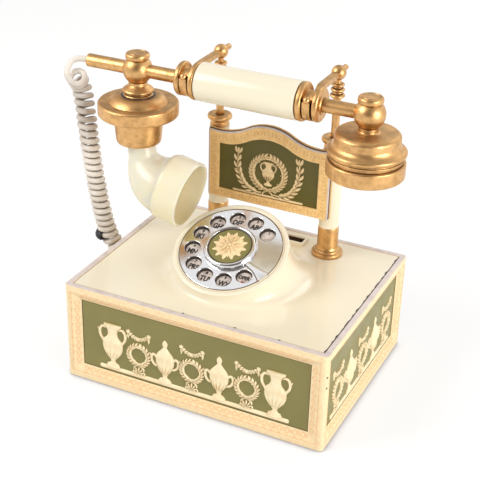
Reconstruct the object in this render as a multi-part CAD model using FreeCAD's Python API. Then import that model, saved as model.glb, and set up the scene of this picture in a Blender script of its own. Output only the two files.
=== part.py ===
import FreeCAD, Part
import math
import os

V = FreeCAD.Vector

# Rotary telephone with an upright cradle. Millimetres, +X right, +Y to the back, +Z up.
# The origin is the middle of the felt under the case.

# General fits
slip = 0.05
touch_gap = 0.15
loose_fit = 0.4

# Case
case_width = 205.0
case_depth = 160.0
case_top = 77.5
frame_foot = 0.8
wall = 7.5
rim_width = 4.5
corner_round = 3.0
side_border = 12.3
rail_border = 10.8
face_band = 5.0
bevel_depth = 3.0
panel_lip = 0.4
panel_thick = 2.0
panel_overlap = 3.0
corner_block = 8.0
cover_thick = 3.0
base_thick = 2.0
base_rise = 0.7
felt_thick = 1.5
felt_inset = 6.0
screw_radius = 1.5
screw_head_radius = 2.8
screw_head_high = 1.2
screw_length = 10.0
relief_thick = 1.6
motif_spacing = 33.0
wreath_radius = 12.0
wreath_width = 4.0
relief_margin = 6.0
shield_wreath_share = 0.86
shield_vase_share = 0.8

# Dial housing
dial_tilt = 23.6
dial_inset = 62.0
dial_z = 103.5
dome_lean_back = 12.0
dome_foot_radius = 61.0
dome_rim_radius = 42.5
dome_wall = 3.0
dome_rim_drop = 0.6
dome_steps = ((0.0, 1.0), (0.03, 0.68), (0.1, 0.47), (0.25, 0.25), (0.5, 0.09), (1.0, 0.0))

# Carrying slot behind the dial
slot_half = 27.0
slot_inset = 14.0
slot_wide = 12.0
slot_rim = 3.0
slot_depth = 11.0
slot_wall = 2.0

# Dial
wheel_radius = 37.6
wheel_thick = 1.4
wheel_run = 1.0
wheel_lift = 1.3
finger_hole_radius = 6.0
finger_hole_circle = 28.5
finger_holes = 10
finger_hole_step = 30.0
first_hole_angle = 44.0
number_plate_thick = 0.8
number_plate_radius = 37.2
dial_plate_thick = 3.0
dial_ledge = 2.6
hub_radius = 19.8
hub_top_radius = 18.6
hub_bore = 16.4
hub_high = 4.0
cameo_high = 3.0
shaft_radius = 4.0
gear_module = 0.8
gear_teeth = 50
gear_tooth_share = 0.4
gear_tip_share = 0.7
gear_root_share = 1.1
gear_tip_half = 0.1
gear_root_half = 0.33
pinion_teeth = 10
gear_thick = 2.5
gear_drop = 7.0
governor_angle = 210.0
governor_radius = 8.0
governor_thick = 2.5
governor_pivot = 1.2
governor_lift = 1.5
pinion_spare = 0.5
pivot_hole_depth = 1.0
bearing_plate_radius = 34.0
bearing_plate_thick = 2.0
bearing_gap = 15.5
pillar_radius = 2.5
pillar_circle = 31.0
spring_drum_radius = 9.0
spring_drum_thick = 3.5
stop_angle = -28.0
stop_width = 9.0
stop_tip_width = 3.5
stop_thick = 1.0
stop_lift = 0.5
stop_foot_thick = 0.5
contact_half = 5.0
contact_near = 23.0
contact_far = 29.0
contact_high = 5.0
contact_blade_reach = 14.0
contact_blade_thick = 0.6
contact_blade_gap = 1.0

# Posts
post_inset = 25.0
foot_rings = ((11.9, 2.4), (10.4, 1.8), (9.2, 1.4))
sleeve_radius = 7.9
sleeve_top = 96.0
tube_radius = 7.6
tube_bore = 5.5
tube_drop = 0.5
spigot_radius = 6.0
spigot_length = 6.0
collar_radius = 7.3
collar_high = 5.0
disc_radius = 9.4
disc_high = 4.0

# Plungers and hooks
plunger_radius = 2.9
baluster_drop = 18.3
baluster_rings = ((5.6, 2.6), (4.0, 2.0), (5.2, 2.4), (3.6, 1.6), (4.8, 1.9))
finial_radius = 5.4
arm_rise = 6.8
arm_thick = 3.2
arm_width = 5.5
pin_radius = 2.2
pin_reach = 15.0
hook_clear = 0.4
hook_tip_ball = 2.6
hook_tip_rise = 4.0
yoke_bottom = 25.0
yoke_high = 6.0
yoke_half_depth = 4.5
yoke_overhang = 6.0
spring_outer = 4.2
spring_inner = 3.2
switch_half = 12.0
switch_depth = 8.0
switch_gap = 2.0
switch_high = 18.5
switch_blade_thick = 0.6
switch_blade_half = 5.0

# Backplate
plate_forward = 12.4
plate_thick = 4.5
plate_half = 48.8
plate_bottom = 111.0
plate_shoulder = 165.0
hump_rise = 9.7
hump_half = 17.5
hump_start_rise = 5.0
plate_side_border = 8.0
plate_low_border = 6.8
plate_top_border = 9.6
pocket_depth = 3.0
plate_panel_thick = 1.5
clip_low = 132.0
clip_high = 12.0
clip_inner = 9.0
clip_reach = 5.0

# Handset
handset_forward = 48.0
handset_z = 215.5
handset_tube_radius = 4.9
handset_tube_bore = 3.2
handset_tube_left = -131.0
handset_tube_plug = 4.0
handle_radius = 13.9
handle_half = 38.0
neck_radius = 8.6
groove_width = 6.4
ring_width = 4.6
ring_cone = 0.8
ring_radius = 13.8
outer_ring_radius = 12.3
outer_ring_width = 3.2
ball_radius = 11.0
ball_top_flat = 8.0
ball_low_flat = 9.0
cap_radius = 8.8
cap_high = 4.5
cap_round = 1.0

# Transmitter and horn
mouth_x = -89.5
mouth_neck_radius = 6.9
washer_radius = 11.3
washer_drop = 14.5
washer_high = 2.0
shoulder_drop = 19.5
mouth_dome_drop = 23.5
dome_radius = 20.0
flange_radius = 29.8
flange_top_drop = 24.0
flange_low_drop = 34.5
flange_chamfer = 1.2
cup_top_radius = 18.6
cup_low_radius = 16.6
cup_drop = 55.5
cup_bore = 12.6
cup_bore_drop = 27.5
capsule_thick = 7.0
horn_wall = 2.2
horn_stem_lean = 12.0
horn_end_lean = 78.0
horn_bend = 24.6
horn_end_x = -67.0
horn_end_drop = 86.5
horn_radii = (10.0, 14.5, 18.6, 21.6, 23.5)
bell_length = 21.5
bell_radius = 25.4
bell_back_radius = 24.2
bell_seat = 2.0
horn_plug_high = 5.0

# Receiver
ear_x = 88.0
ear_neck_radius = 7.0
drum_radius = 22.8
drum_top_drop = 12.5
drum_low_drop = 21.0
drum_waist_share = 0.35
ear_flange_radius = 27.5
ear_flange_top_drop = 24.5
ear_flange_low_drop = 27.5
thread_radius = 26.0
thread_drop = 32.5
ear_bore = 20.0
ear_bore_drop = 16.5
ear_capsule_thick = 10.0
ear_cap_radius = 27.3
ear_cap_high = 11.5
ear_cap_round = 1.5
ear_dish_radius = 19.0
ear_dish_depth = 3.0
ear_hole_radius = 1.5
ear_hole_circle = 8.0
ear_holes = 6

# Handset cord
cord_diameter = 4.0
coil_top_radius = 5.5
coil_low_radius = 4.8
coil_top_pitch = 6.2
coil_low_pitch = 4.6
coil_bend_pitch = 6.2
coil_bend_start = 0.86
coil_end_pitch = 34.0
coil_end_share = 0.06
coil_steps = 6000
sleeve_turns = 2
cord_sleeve_wall = 0.5
tail_run = 3.0
lead_gap = 0.8
grommet_flange_radius = 4.6
grommet_flange_thick = 2.0
grommet_body_radius = 3.4
grommet_body_length = 5.0

# Line inlet at the back
inlet_inset = 42.5
inlet_z = 26.0
inlet_bore = 3.0
inlet_body_radius = 5.0
inlet_flange_radius = 7.0
inlet_flange_thick = 2.0
inlet_body_length = 5.0

# Ringer and network
gong_x = -50.0
gong_radius = 22.0
gong_high = 14.0
gong_low = 16.0
gong_wall = 1.5
gong_post_radius = 3.0
clapper_pivot_x = -12.0
clapper_pin_radius = 1.5
clapper_z = 22.0
clapper_ball = 5.0
clapper_arm_radius = 1.2
clapper_swing = 4.0
clapper_strike_gap = 0.6
armature_half = 16.0
armature_thick = 4.0
armature_high = 8.0
bobbin_radius = 8.0
bobbin_spread = 9.0
bobbin_length = 25.0
bobbin_gap = 2.0
bracket_thick = 2.5
bracket_half = 16.0
network_wide = 48.0
network_side_gap = 7
network_front = -50.0
network_back = 10.0
network_high = 24.0
terminal_radius = 2.5
terminal_high = 1.5

# Values that follow from the sizes above
half_width = case_width / 2
half_depth = case_depth / 2
post_x = handle_half + ring_width + ring_cone + groove_width / 2
post_y = half_depth - post_inset
slot_back = half_depth - slot_inset
slot_front = slot_back - slot_wide
plate_front = post_y - plate_forward
handset_y = post_y - handset_forward
dial_y = dial_inset - half_depth
dome_foot_y = dial_y + dome_lean_back
arm_z = handset_z + arm_rise
baluster_low = arm_z - baluster_drop
hump_start = plate_shoulder + hump_start_rise
plate_peak = plate_shoulder + hump_rise
tube_top = plate_shoulder - tube_drop
washer_low = handset_z - washer_drop
shoulder_low = handset_z - shoulder_drop
dome_low = handset_z - mouth_dome_drop
flange_top = handset_z - flange_top_drop
flange_low = handset_z - flange_low_drop
cup_low = handset_z - cup_drop
cup_bore_top = handset_z - cup_bore_drop
horn_end_z = handset_z - horn_end_drop
drum_top = handset_z - drum_top_drop
drum_low = handset_z - drum_low_drop
ear_flange_top = handset_z - ear_flange_top_drop
ear_flange_low = handset_z - ear_flange_low_drop
thread_low = handset_z - thread_drop
ear_bore_top = handset_z - ear_bore_drop
drum_waist_radius = drum_radius + (ear_flange_radius - drum_radius) * drum_waist_share
drum_waist = ear_flange_top + (drum_low - ear_flange_top) * drum_waist_share
cover_low = case_top - cover_thick
plate_top = frame_foot + base_rise + base_thick
plate_low = plate_top - base_thick
panel_depth = bevel_depth + panel_lip
inner_x = half_width - wall
inner_y = half_depth - wall
inlet_x = half_width - inlet_inset
network_right = inner_x - network_side_gap
network_left = network_right - network_wide
block_x = inner_x - corner_block / 2
block_y = inner_y - corner_block / 2
dial_bore = wheel_radius + wheel_run
number_top = -wheel_thick - wheel_lift
number_low = number_top - number_plate_thick
dial_plate_low = number_low - dial_plate_thick
gear_top = dial_plate_low - gear_drop
gear_low = gear_top - gear_thick
bearing_top = dial_plate_low - bearing_gap
bearing_low = bearing_top - bearing_plate_thick
gear_distance = gear_module * (gear_teeth + pinion_teeth) / 2
hook_inner = neck_radius + hook_clear
hook_outer = hook_inner + arm_thick
handset_axis = V(0, handset_y, handset_z)
ball_low = handset_z - ball_low_flat
ringer_y = (post_y - yoke_half_depth - inner_y) / 2

# Middle line of the coiled cord, from the handset down to the case
coil_axis = (
    V(-142.8, handset_y + coil_top_radius, 205.4),
    V(-138.4, handset_y + coil_top_radius / 2, 190.8),
    V(-134.4, handset_y, 167.5),
    V(-132.0, handset_y, 143.7),
    V(-128.6, handset_y, 119.5),
    V(-124.1, handset_y, 94.8),
    V(-119.8, handset_y + 1.5, 74.4),
    V(-114.8, handset_y + 3.0, 64.6),
    V(-108.4, handset_y + 4.0, 59.4),
)


def block(x0, x1, y0, y1, z0, z1):
    """A box between two corners."""
    return Part.makeBox(x1 - x0, y1 - y0, z1 - z0, V(x0, y0, z0))


def bar(radius, start, end):
    """A round bar between two points."""
    axis = end - start
    return Part.makeCylinder(radius, axis.Length, start, axis)


def turned(profile, origin, axis=V(0, 0, 1)):
    """A closed outline of (radius, height) points turned about an axis."""
    points = [V(radius, 0, height) for radius, height in profile]
    outline = Part.Face(Part.makePolygon(points + points[:1]))
    solid = outline.revolve(V(0, 0, 0), V(0, 0, 1), 360)
    solid.Placement = FreeCAD.Placement(origin, FreeCAD.Rotation(V(0, 0, 1), axis))
    return solid


def flat_piece(edges, direction):
    """A planar outline of edges, extruded along a direction."""
    return Part.Face(Part.Wire(edges)).extrude(direction)


def line(a, b):
    return Part.LineSegment(a, b).toShape()


def arc(a, middle, b):
    return Part.Arc(a, middle, b).toShape()


def closed_polygon(points):
    return Part.makePolygon(list(points) + [points[0]])


def fused(shapes):
    first = shapes[0]
    return first.fuse(shapes[1:]).removeSplitter() if len(shapes) > 1 else first


def save(name, shape):
    """Writes one piece, or a group of separate pieces, to its own file."""
    solids = shape.Solids
    for solid in solids:
        if not solid.isValid() or solid.Volume <= 0:
            raise ValueError("not a sound solid: " + name)
    kept = solids[0] if len(solids) == 1 else Part.makeCompound(solids)
    kept.exportStep("parts/" + name + ".step")


# Case frame, panels and covers

def case_sides():
    """(name, turn about Z, half width of the side, distance of its face from the middle)"""
    return (
        ("front", 0, half_width, half_depth),
        ("right", 90, half_depth, half_width),
        ("rear", 180, half_width, half_depth),
        ("left", 270, half_depth, half_width),
    )


def on_side(shape, turn):
    """Turns a piece made for the front side round to another side."""
    placed = shape.copy()
    placed.rotate(V(0, 0, 0), V(0, 0, 1), turn)
    return placed


def window_cut(half, face):
    """The bevelled window of one side and the pocket behind it, made for the front side."""
    low = frame_foot + rail_border
    high = case_top - rail_border
    inner = half - side_border
    run_x = side_border - face_band
    run_z = rail_border - face_band

    def rectangle(x, z_low, z_high, y):
        return closed_polygon((V(-x, y, z_low), V(x, y, z_low), V(x, y, z_high), V(-x, y, z_high)))

    bevel = Part.makeLoft(
        [
            rectangle(inner + run_x, low - run_z, high + run_z, -face),
            rectangle(inner, low, high, -face + bevel_depth),
        ],
        True,
        True,
    )
    hole = block(-inner, inner, -face + bevel_depth, -face + wall, low, high)
    pocket = block(
        -inner - panel_overlap, inner + panel_overlap,
        -face + panel_depth, -face + wall,
        low - panel_overlap, high + panel_overlap,
    )
    return bevel.fuse([hole, pocket])


def make_frame():
    body = block(-half_width, half_width, -half_depth, half_depth, frame_foot, case_top)
    uprights = [edge for edge in body.Edges if abs(edge.tangentAt(edge.FirstParameter).z) > 0.9]
    body = body.makeFillet(corner_round, uprights)
    body = body.cut(block(-inner_x, inner_x, -inner_y, inner_y, frame_foot, case_top))
    rebate_x = half_width - rim_width
    rebate_y = half_depth - rim_width
    body = body.cut(block(-rebate_x, rebate_x, -rebate_y, rebate_y, cover_low, case_top))
    body = body.cut(block(-rebate_x, rebate_x, -rebate_y, rebate_y, frame_foot, plate_top))
    for sx in (-1, 1):
        for sy in (-1, 1):
            corner = block(
                block_x - corner_block / 2, block_x + corner_block / 2 + wall / 4,
                block_y - corner_block / 2, block_y + corner_block / 2 + wall / 4,
                plate_top, cover_low,
            )
            hole_start = V(block_x, block_y, plate_top)
            hole_end = V(block_x, block_y, plate_top + screw_length)
            corner = corner.cut(bar(screw_radius + slip, hole_start, hole_end))
            if sx < 0:
                corner = corner.mirror(V(0, 0, 0), V(1, 0, 0))
            if sy < 0:
                corner = corner.mirror(V(0, 0, 0), V(0, 1, 0))
            body = body.fuse(corner)
    for name, turn, half, face in case_sides():
        body = body.cut(on_side(window_cut(half, face), turn))
    return body.removeSplitter()


def make_panel(half, face):
    """The plate behind one window, made for the front side."""
    inner = half - side_border + panel_overlap - touch_gap
    low = frame_foot + rail_border - panel_overlap + touch_gap
    high = case_top - rail_border + panel_overlap - touch_gap
    return block(-inner, inner, -face + panel_depth, -face + panel_depth + panel_thick, low, high)


def urn(middle, low, high):
    """The outline of a footed vase in the XZ plane."""
    tall = high - low
    foot = 0.17 * tall
    stem = 0.06 * tall
    belly = 0.27 * tall
    neck = 0.13 * tall
    lip = 0.22 * tall
    levels = (low, low + 0.08 * tall, low + 0.18 * tall, low + 0.72 * tall, low + 0.9 * tall, high)

    def side(sign):
        return [V(middle + sign * r, 0, z) for r, z in zip((foot, foot, stem, neck, neck, lip), levels)]

    right = side(1)
    left = side(-1)
    swell = low + 0.5 * tall
    edges = [
        line(left[0], right[0]),
        line(right[0], right[1]),
        line(right[1], right[2]),
        arc(right[2], V(middle + belly, 0, swell), right[3]),
        line(right[3], right[4]),
        line(right[4], right[5]),
        line(right[5], left[5]),
        line(left[5], left[4]),
        line(left[4], left[3]),
        arc(left[3], V(middle - belly, 0, swell), left[2]),
        line(left[2], left[1]),
        line(left[1], left[0]),
    ]
    return Part.Face(Part.Wire(edges))


def ring_outline(middle, height, outer, inner):
    """A flat ring in the XZ plane."""
    faces = []
    for radius in (outer, inner):
        circle = Part.Circle(V(middle, 0, height), V(0, -1, 0), radius)
        faces.append(Part.Face(Part.Wire([circle.toShape()])))
    return faces[0].cut(faces[1])


def relief(half, motif_gap, wreath_outer, wreath_band, margin):
    """Vases and wreaths in turn along one window, standing out from y = 0 towards -y."""
    low = frame_foot + rail_border + margin
    high = case_top - rail_border - margin
    count = int((half - side_border - motif_gap / 2) // motif_gap)
    solids = []
    for place in range(-count, count + 1):
        middle = place * motif_gap
        if place % 2 == 0:
            face = urn(middle, low, high)
        else:
            face = ring_outline(middle, (low + high) / 2, wreath_outer, wreath_outer - wreath_band)
        solids.extend(face.extrude(V(0, -relief_thick, 0)).Solids)
    return solids


def make_case_reliefs(grommet_y):
    """The motifs of the front and the sides; on the left the cord's grommet sits between two of them."""
    solids = []
    for name, turn, half, face in case_sides():
        if name == "rear":
            continue
        for solid in relief(half, motif_spacing, wreath_radius, wreath_width, relief_margin):
            shift = motif_spacing / 2 - grommet_y if name == "left" else 0
            solid.translate(V(shift, -face + panel_depth, 0))
            solids.append(on_side(solid, turn))
    return Part.makeCompound(solids)


def dial_placement():
    return FreeCAD.Placement(V(0, dial_y, dial_z), FreeCAD.Rotation(V(1, 0, 0), dial_tilt))


def on_dial(shape):
    """Moves a piece from the dial's own frame, Z along its spindle, into the telephone."""
    placed = shape.copy()
    placed.Placement = dial_placement().multiply(placed.Placement)
    return placed


def ring_section(centre, tilt, radius):
    """A circle leaning forward by a tilt about X."""
    edge = Part.Circle(V(0, 0, 0), V(0, 0, 1), radius).toShape()
    edge.Placement = FreeCAD.Placement(centre, FreeCAD.Rotation(V(1, 0, 0), tilt))
    return Part.Wire([edge])


def dome_form(inset, top_drop, sink):
    """The flared dial housing as a solid, its sides moved in by an inset and its top lowered."""
    top = dial_placement().multVec(V(0, 0, -top_drop))
    foot = V(0, dome_foot_y, case_top - sink)
    sections = []
    for share, flare in dome_steps:
        radius = dome_rim_radius + (dome_foot_radius - dome_rim_radius) * flare - inset
        sections.append(ring_section(foot + (top - foot) * share, dial_tilt * share, radius))
    return Part.makeLoft(sections, True, False)


def make_top_cover():
    cover_x = half_width - rim_width - loose_fit
    cover_y = half_depth - rim_width - loose_fit
    plate = block(-cover_x, cover_x, -cover_y, cover_y, cover_low, case_top)
    plate = plate.fuse(dome_form(0, dome_rim_drop, touch_gap))
    plate = plate.cut(dome_form(dome_wall, dome_wall - dial_plate_low, cover_thick + touch_gap))
    seat = Part.makeCylinder(dial_bore, -dial_plate_low + wheel_thick, V(0, 0, dial_plate_low))
    throat_foot = V(0, 0, dial_plate_low - dome_wall)
    throat = Part.makeCylinder(dial_bore - dial_ledge, 2 * dome_wall, throat_foot)
    plate = plate.cut([on_dial(seat), on_dial(throat)])
    well = block(
        -slot_half, slot_half, slot_front, slot_back,
        case_top - slot_depth - slot_wall, case_top + slot_rim,
    )
    opening = block(
        -slot_half + slot_wall, slot_half - slot_wall, slot_front + slot_wall, slot_back - slot_wall,
        case_top - slot_depth, case_top + slot_rim,
    )
    plate = plate.fuse(well).cut(opening)
    for side in (-1, 1):
        hole = Part.makeCylinder(spigot_radius + slip, cover_thick, V(side * post_x, post_y, cover_low))
        plate = plate.cut(hole)
    return plate.removeSplitter()


def screw_places():
    return [(sx * block_x, sy * block_y) for sx in (-1, 1) for sy in (-1, 1)]


def make_base_plate():
    edge_x = half_width - rim_width - loose_fit
    edge_y = half_depth - rim_width - loose_fit
    plate = block(-edge_x, edge_x, -edge_y, edge_y, plate_low, plate_top)
    for x, y in screw_places():
        plate = plate.cut(
            [
                bar(screw_head_radius + slip, V(x, y, plate_low), V(x, y, plate_low + screw_head_high)),
                bar(screw_radius + slip, V(x, y, plate_low), V(x, y, plate_top)),
            ]
        )
    return plate


def make_base_screws():
    screws = []
    for x, y in screw_places():
        profile = (
            (0, 0),
            (screw_head_radius, 0),
            (screw_head_radius, screw_head_high),
            (screw_radius, screw_head_high),
            (screw_radius, screw_length),
            (0, screw_length),
        )
        screws.append(turned(profile, V(x, y, plate_low)))
    return Part.makeCompound(screws)


def make_felt():
    x = half_width - felt_inset
    y = half_depth - felt_inset
    return block(-x, x, -y, y, plate_low - felt_thick, plate_low)


# Dial

def gear(teeth, module, thick, thin, bore, turn):
    """A spur gear with straight flanks, thin holding the tooth's share of the pitch."""
    pitch_radius = module * teeth / 2
    tip = pitch_radius + gear_tip_share * module
    root = pitch_radius - gear_root_share * module
    step = 2 * math.pi / teeth
    points = []
    for tooth in range(teeth):
        middle = turn + tooth * step
        flank = ((root, gear_root_half), (pitch_radius, thin / 2), (tip, gear_tip_half))
        for radius, half in flank:
            points.append((radius, middle - half * step))
        for radius, half in reversed(flank):
            points.append((radius, middle + half * step))
    outline = closed_polygon([V(r * math.cos(a), r * math.sin(a), 0) for r, a in points])
    wheel = Part.Face(outline).extrude(V(0, 0, thick))
    if bore:
        wheel = wheel.cut(Part.makeCylinder(bore, thick))
    return wheel


def dial_point(radius, angle, height=0.0):
    turn = math.radians(angle)
    return V(radius * math.cos(turn), radius * math.sin(turn), height)


def make_dial_frame():
    front = Part.makeCylinder(dial_bore - touch_gap, dial_plate_thick, V(0, 0, dial_plate_low))
    rear = Part.makeCylinder(bearing_plate_radius, bearing_plate_thick, V(0, 0, bearing_low))
    shapes = [front, rear]
    for angle in (60, 150, 300):
        foot = dial_point(pillar_circle, angle, bearing_low)
        shapes.append(Part.makeCylinder(pillar_radius, dial_plate_low - bearing_low, foot))
    frame = fused(shapes)
    bearing = Part.makeCylinder(shaft_radius + slip, number_low - bearing_low, V(0, 0, bearing_low))
    pivot = dial_point(gear_distance, governor_angle, bearing_low)
    hole_length = dial_plate_low + pivot_hole_depth - bearing_low
    spindle_hole = Part.makeCylinder(governor_pivot + slip, hole_length, pivot)
    return frame.cut([bearing, spindle_hole])


def make_number_plate():
    plate = Part.makeCylinder(number_plate_radius, number_plate_thick, V(0, 0, number_low))
    return plate.cut(Part.makeCylinder(shaft_radius + 1, number_plate_thick, V(0, 0, number_low)))


def make_finger_wheel():
    wheel = Part.makeCylinder(wheel_radius, wheel_thick, V(0, 0, -wheel_thick))
    holes = []
    for digit in range(finger_holes):
        angle = first_hole_angle + digit * finger_hole_step
        centre = dial_point(finger_hole_circle, angle, -wheel_thick)
        holes.append(Part.makeCylinder(finger_hole_radius, wheel_thick, centre))
    return wheel.cut(holes)


def make_finger_stop():
    outer = dial_bore - touch_gap
    inner = outer - stop_foot_thick
    tip = hub_radius + loose_fit
    blade = closed_polygon(
        (
            V(outer, -stop_width / 2, 0),
            V(outer, stop_width / 2, 0),
            V(tip + stop_width / 2, stop_tip_width / 2, 0),
            V(tip, stop_tip_width / 2, 0),
            V(tip, -stop_tip_width / 2, 0),
            V(tip + stop_width, -stop_tip_width / 2, 0),
        )
    )
    blade = Part.Face(blade).extrude(V(0, 0, stop_thick))
    blade.translate(V(0, 0, stop_lift))
    rim = Part.makeCylinder(outer, stop_lift + stop_thick - number_low, V(0, 0, number_low))
    foot = rim.cut(Part.makeCylinder(inner, stop_lift + stop_thick - number_low, V(0, 0, number_low)))
    slab = block(0, outer, -stop_width / 2, stop_width / 2, number_low, stop_lift + stop_thick)
    stop = fused([foot.common(slab), blade.common(rim)])
    stop.rotate(V(0, 0, 0), V(0, 0, 1), stop_angle)
    return stop


def make_dial():
    """The dial's fixed and turning pieces, in the dial's own frame."""
    pieces = {}
    pieces["dial_frame"] = make_dial_frame()
    pieces["number_plate"] = make_number_plate()
    pieces["finger_wheel"] = make_finger_wheel()
    pieces["finger_stop"] = make_finger_stop()
    pieces["hub_ring"] = turned(
        (
            (hub_bore, 0),
            (hub_radius, 0),
            (hub_radius, hub_high / 2),
            (hub_top_radius, hub_high),
            (hub_bore, hub_high),
        ),
        V(0, 0, 0),
    )
    pieces["cameo_disc"] = Part.makeCylinder(hub_bore - slip, cameo_high)
    pieces["dial_shaft"] = Part.makeCylinder(shaft_radius, -wheel_thick - bearing_low, V(0, 0, bearing_low))
    drum_top = dial_plate_low - loose_fit
    drum = Part.makeCylinder(spring_drum_radius, spring_drum_thick, V(0, 0, drum_top - spring_drum_thick))
    pieces["dial_spring"] = drum.cut(pieces["dial_shaft"])
    aim = math.radians(governor_angle)
    main = gear(gear_teeth, gear_module, gear_thick, gear_tooth_share, shaft_radius + slip / 2, aim)
    main.translate(V(0, 0, gear_low))
    pieces["main_gear"] = main
    half_tooth = math.pi / pinion_teeth
    pinion_thick = gear_thick + 2 * pinion_spare
    pinion = gear(pinion_teeth, gear_module, pinion_thick, gear_tooth_share, 0, aim + math.pi + half_tooth)
    pinion.translate(V(0, 0, gear_low - pinion_spare))
    spindle_length = dial_plate_low + pivot_hole_depth / 2 - bearing_low
    spindle = Part.makeCylinder(governor_pivot, spindle_length, V(0, 0, bearing_low))
    weight = Part.makeCylinder(governor_radius, governor_thick, V(0, 0, gear_top + governor_lift))
    governor = fused([pinion, spindle, weight])
    governor.translate(dial_point(gear_distance, governor_angle))
    pieces["governor"] = governor
    stack_low = dial_plate_low - contact_high
    stack = block(-contact_half, contact_half, contact_near, contact_far, stack_low, dial_plate_low)
    blades = [
        block(
            -contact_blade_reach, contact_half,
            contact_near + offset, contact_near + offset + contact_blade_thick,
            dial_plate_low - contact_high, dial_plate_low - contact_high / 3,
        )
        for offset in (contact_blade_gap, 3 * contact_blade_gap)
    ]
    pieces["pulse_contacts"] = fused([stack] + blades)
    return pieces


# Posts, plungers and hooks

def foot_profile():
    """The turned foot of a post from its spigot to the top of its sleeve."""
    profile = [(tube_bore, case_top - spigot_length), (spigot_radius, case_top - spigot_length)]
    profile.append((spigot_radius, case_top))
    height = case_top
    for radius, high in foot_rings:
        profile.append((radius, height))
        height = height + high
        profile.append((radius, height))
    profile.append((sleeve_radius, height))
    profile.append((sleeve_radius, sleeve_top))
    profile.append((tube_bore, sleeve_top))
    return profile


def make_posts():
    pieces = {}
    tubes = []
    caps = []
    for name, side in (("left", -1), ("right", 1)):
        middle = V(side * post_x, post_y, 0)
        pieces[name + "_post_foot"] = turned(foot_profile(), middle)
        tube = (
            (tube_bore, sleeve_top),
            (tube_radius, sleeve_top),
            (tube_radius, tube_top),
            (tube_bore, tube_top),
        )
        tubes.append(turned(tube, middle))
        hole = plunger_radius + slip
        disc_low = tube_top + collar_high
        cap = (
            (hole, tube_top),
            (collar_radius, tube_top),
            (collar_radius, disc_low),
            (disc_radius - disc_high / 4, disc_low),
            (disc_radius, disc_low + disc_high / 4),
            (disc_radius, disc_low + disc_high * 3 / 4),
            (disc_radius - disc_high / 4, disc_low + disc_high),
            (hole, disc_low + disc_high),
        )
        caps.append(turned(cap, middle))
    pieces["post_tubes"] = Part.makeCompound(tubes)
    pieces["post_caps"] = Part.makeCompound(caps)
    return pieces


def make_plunger(side):
    """The sliding rod of one post, with its turned rings and the ball at its top."""
    yoke_top = yoke_bottom + yoke_high
    profile = [(0, yoke_top), (plunger_radius, yoke_top), (plunger_radius, baluster_low)]
    height = baluster_low
    for radius, high in baluster_rings:
        profile.append((radius, height))
        height = height + high
        profile.append((radius, height))
    neck_top = arm_z - finial_radius / 2
    profile.append((pin_radius, height))
    profile.append((pin_radius, neck_top))
    profile.append((0, neck_top))
    rod = turned(profile, V(side * post_x, post_y, 0))
    ball = Part.makeSphere(finial_radius, V(side * post_x, post_y, arm_z))
    hole = bar(
        pin_radius + slip,
        V(side * post_x, post_y - 2 * finial_radius, arm_z),
        V(side * post_x, post_y + 2 * finial_radius, arm_z),
    )
    return rod.fuse(ball).cut(hole)


def make_hook(side):
    """An arm from the ball forward, bent down and round under the handset's neck."""
    x = side * post_x - arm_width / 2
    across = V(arm_width, 0, 0)
    half = arm_thick / 2
    middle = (hook_inner + hook_outer) / 2
    rear = handset_y + middle
    corner_y = rear + arm_rise
    tip_z = handset_z + hook_tip_rise
    start_y = post_y - finial_radius - slip

    def at(y, z):
        return V(x, y, z)

    def around(radius, angle, y=handset_y, z=handset_z):
        turn = math.radians(angle)
        return at(y + radius * math.cos(turn), z + radius * math.sin(turn))

    edges = [
        line(at(start_y, arm_z - half), at(corner_y, arm_z - half)),
        arc(
            at(corner_y, arm_z - half),
            around(arm_rise - half, 135, corner_y, handset_z),
            at(rear + half, handset_z),
        ),
        arc(around(hook_outer, 0), around(hook_outer, -90), around(hook_outer, 180)),
        line(around(hook_outer, 180), at(handset_y - hook_outer, tip_z)),
        line(at(handset_y - hook_outer, tip_z), at(handset_y - hook_inner, tip_z)),
        line(at(handset_y - hook_inner, tip_z), around(hook_inner, 180)),
        arc(around(hook_inner, 180), around(hook_inner, -90), around(hook_inner, 0)),
        arc(
            at(rear - half, handset_z),
            around(arm_rise + half, 135, corner_y, handset_z),
            at(corner_y, arm_z + half),
        ),
        line(at(corner_y, arm_z + half), at(start_y, arm_z + half)),
        line(at(start_y, arm_z + half), at(start_y, arm_z - half)),
    ]
    strip = flat_piece(edges, across)
    tip = Part.makeSphere(hook_tip_ball, V(side * post_x, handset_y - middle, tip_z + hook_tip_ball / 2))
    clear = bar(
        hook_inner,
        V(side * post_x - arm_width, handset_y, handset_z),
        V(side * post_x + arm_width, handset_y, handset_z),
    )
    pin_end = V(side * post_x, post_y + pin_reach - pin_radius, arm_z)
    pin = bar(pin_radius, V(side * post_x, start_y, arm_z), pin_end)
    knob = Part.makeSphere(pin_radius, pin_end)
    above = block(
        x, x + arm_width, handset_y - hook_inner, handset_y + hook_inner,
        handset_z, tip_z + 2 * hook_tip_ball,
    )
    return fused([strip, tip.cut([clear, above]), pin, knob])


def make_yoke():
    x = post_x + yoke_overhang
    return block(
        -x, x, post_y - yoke_half_depth, post_y + yoke_half_depth, yoke_bottom, yoke_bottom + yoke_high
    )


def make_cradle_springs():
    springs = []
    for side in (-1, 1):
        foot = V(side * post_x, post_y, plate_top)
        high = yoke_bottom - plate_top
        outer = Part.makeCylinder(spring_outer, high, foot)
        springs.append(outer.cut(Part.makeCylinder(spring_inner, high, foot)))
    return Part.makeCompound(springs)


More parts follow.
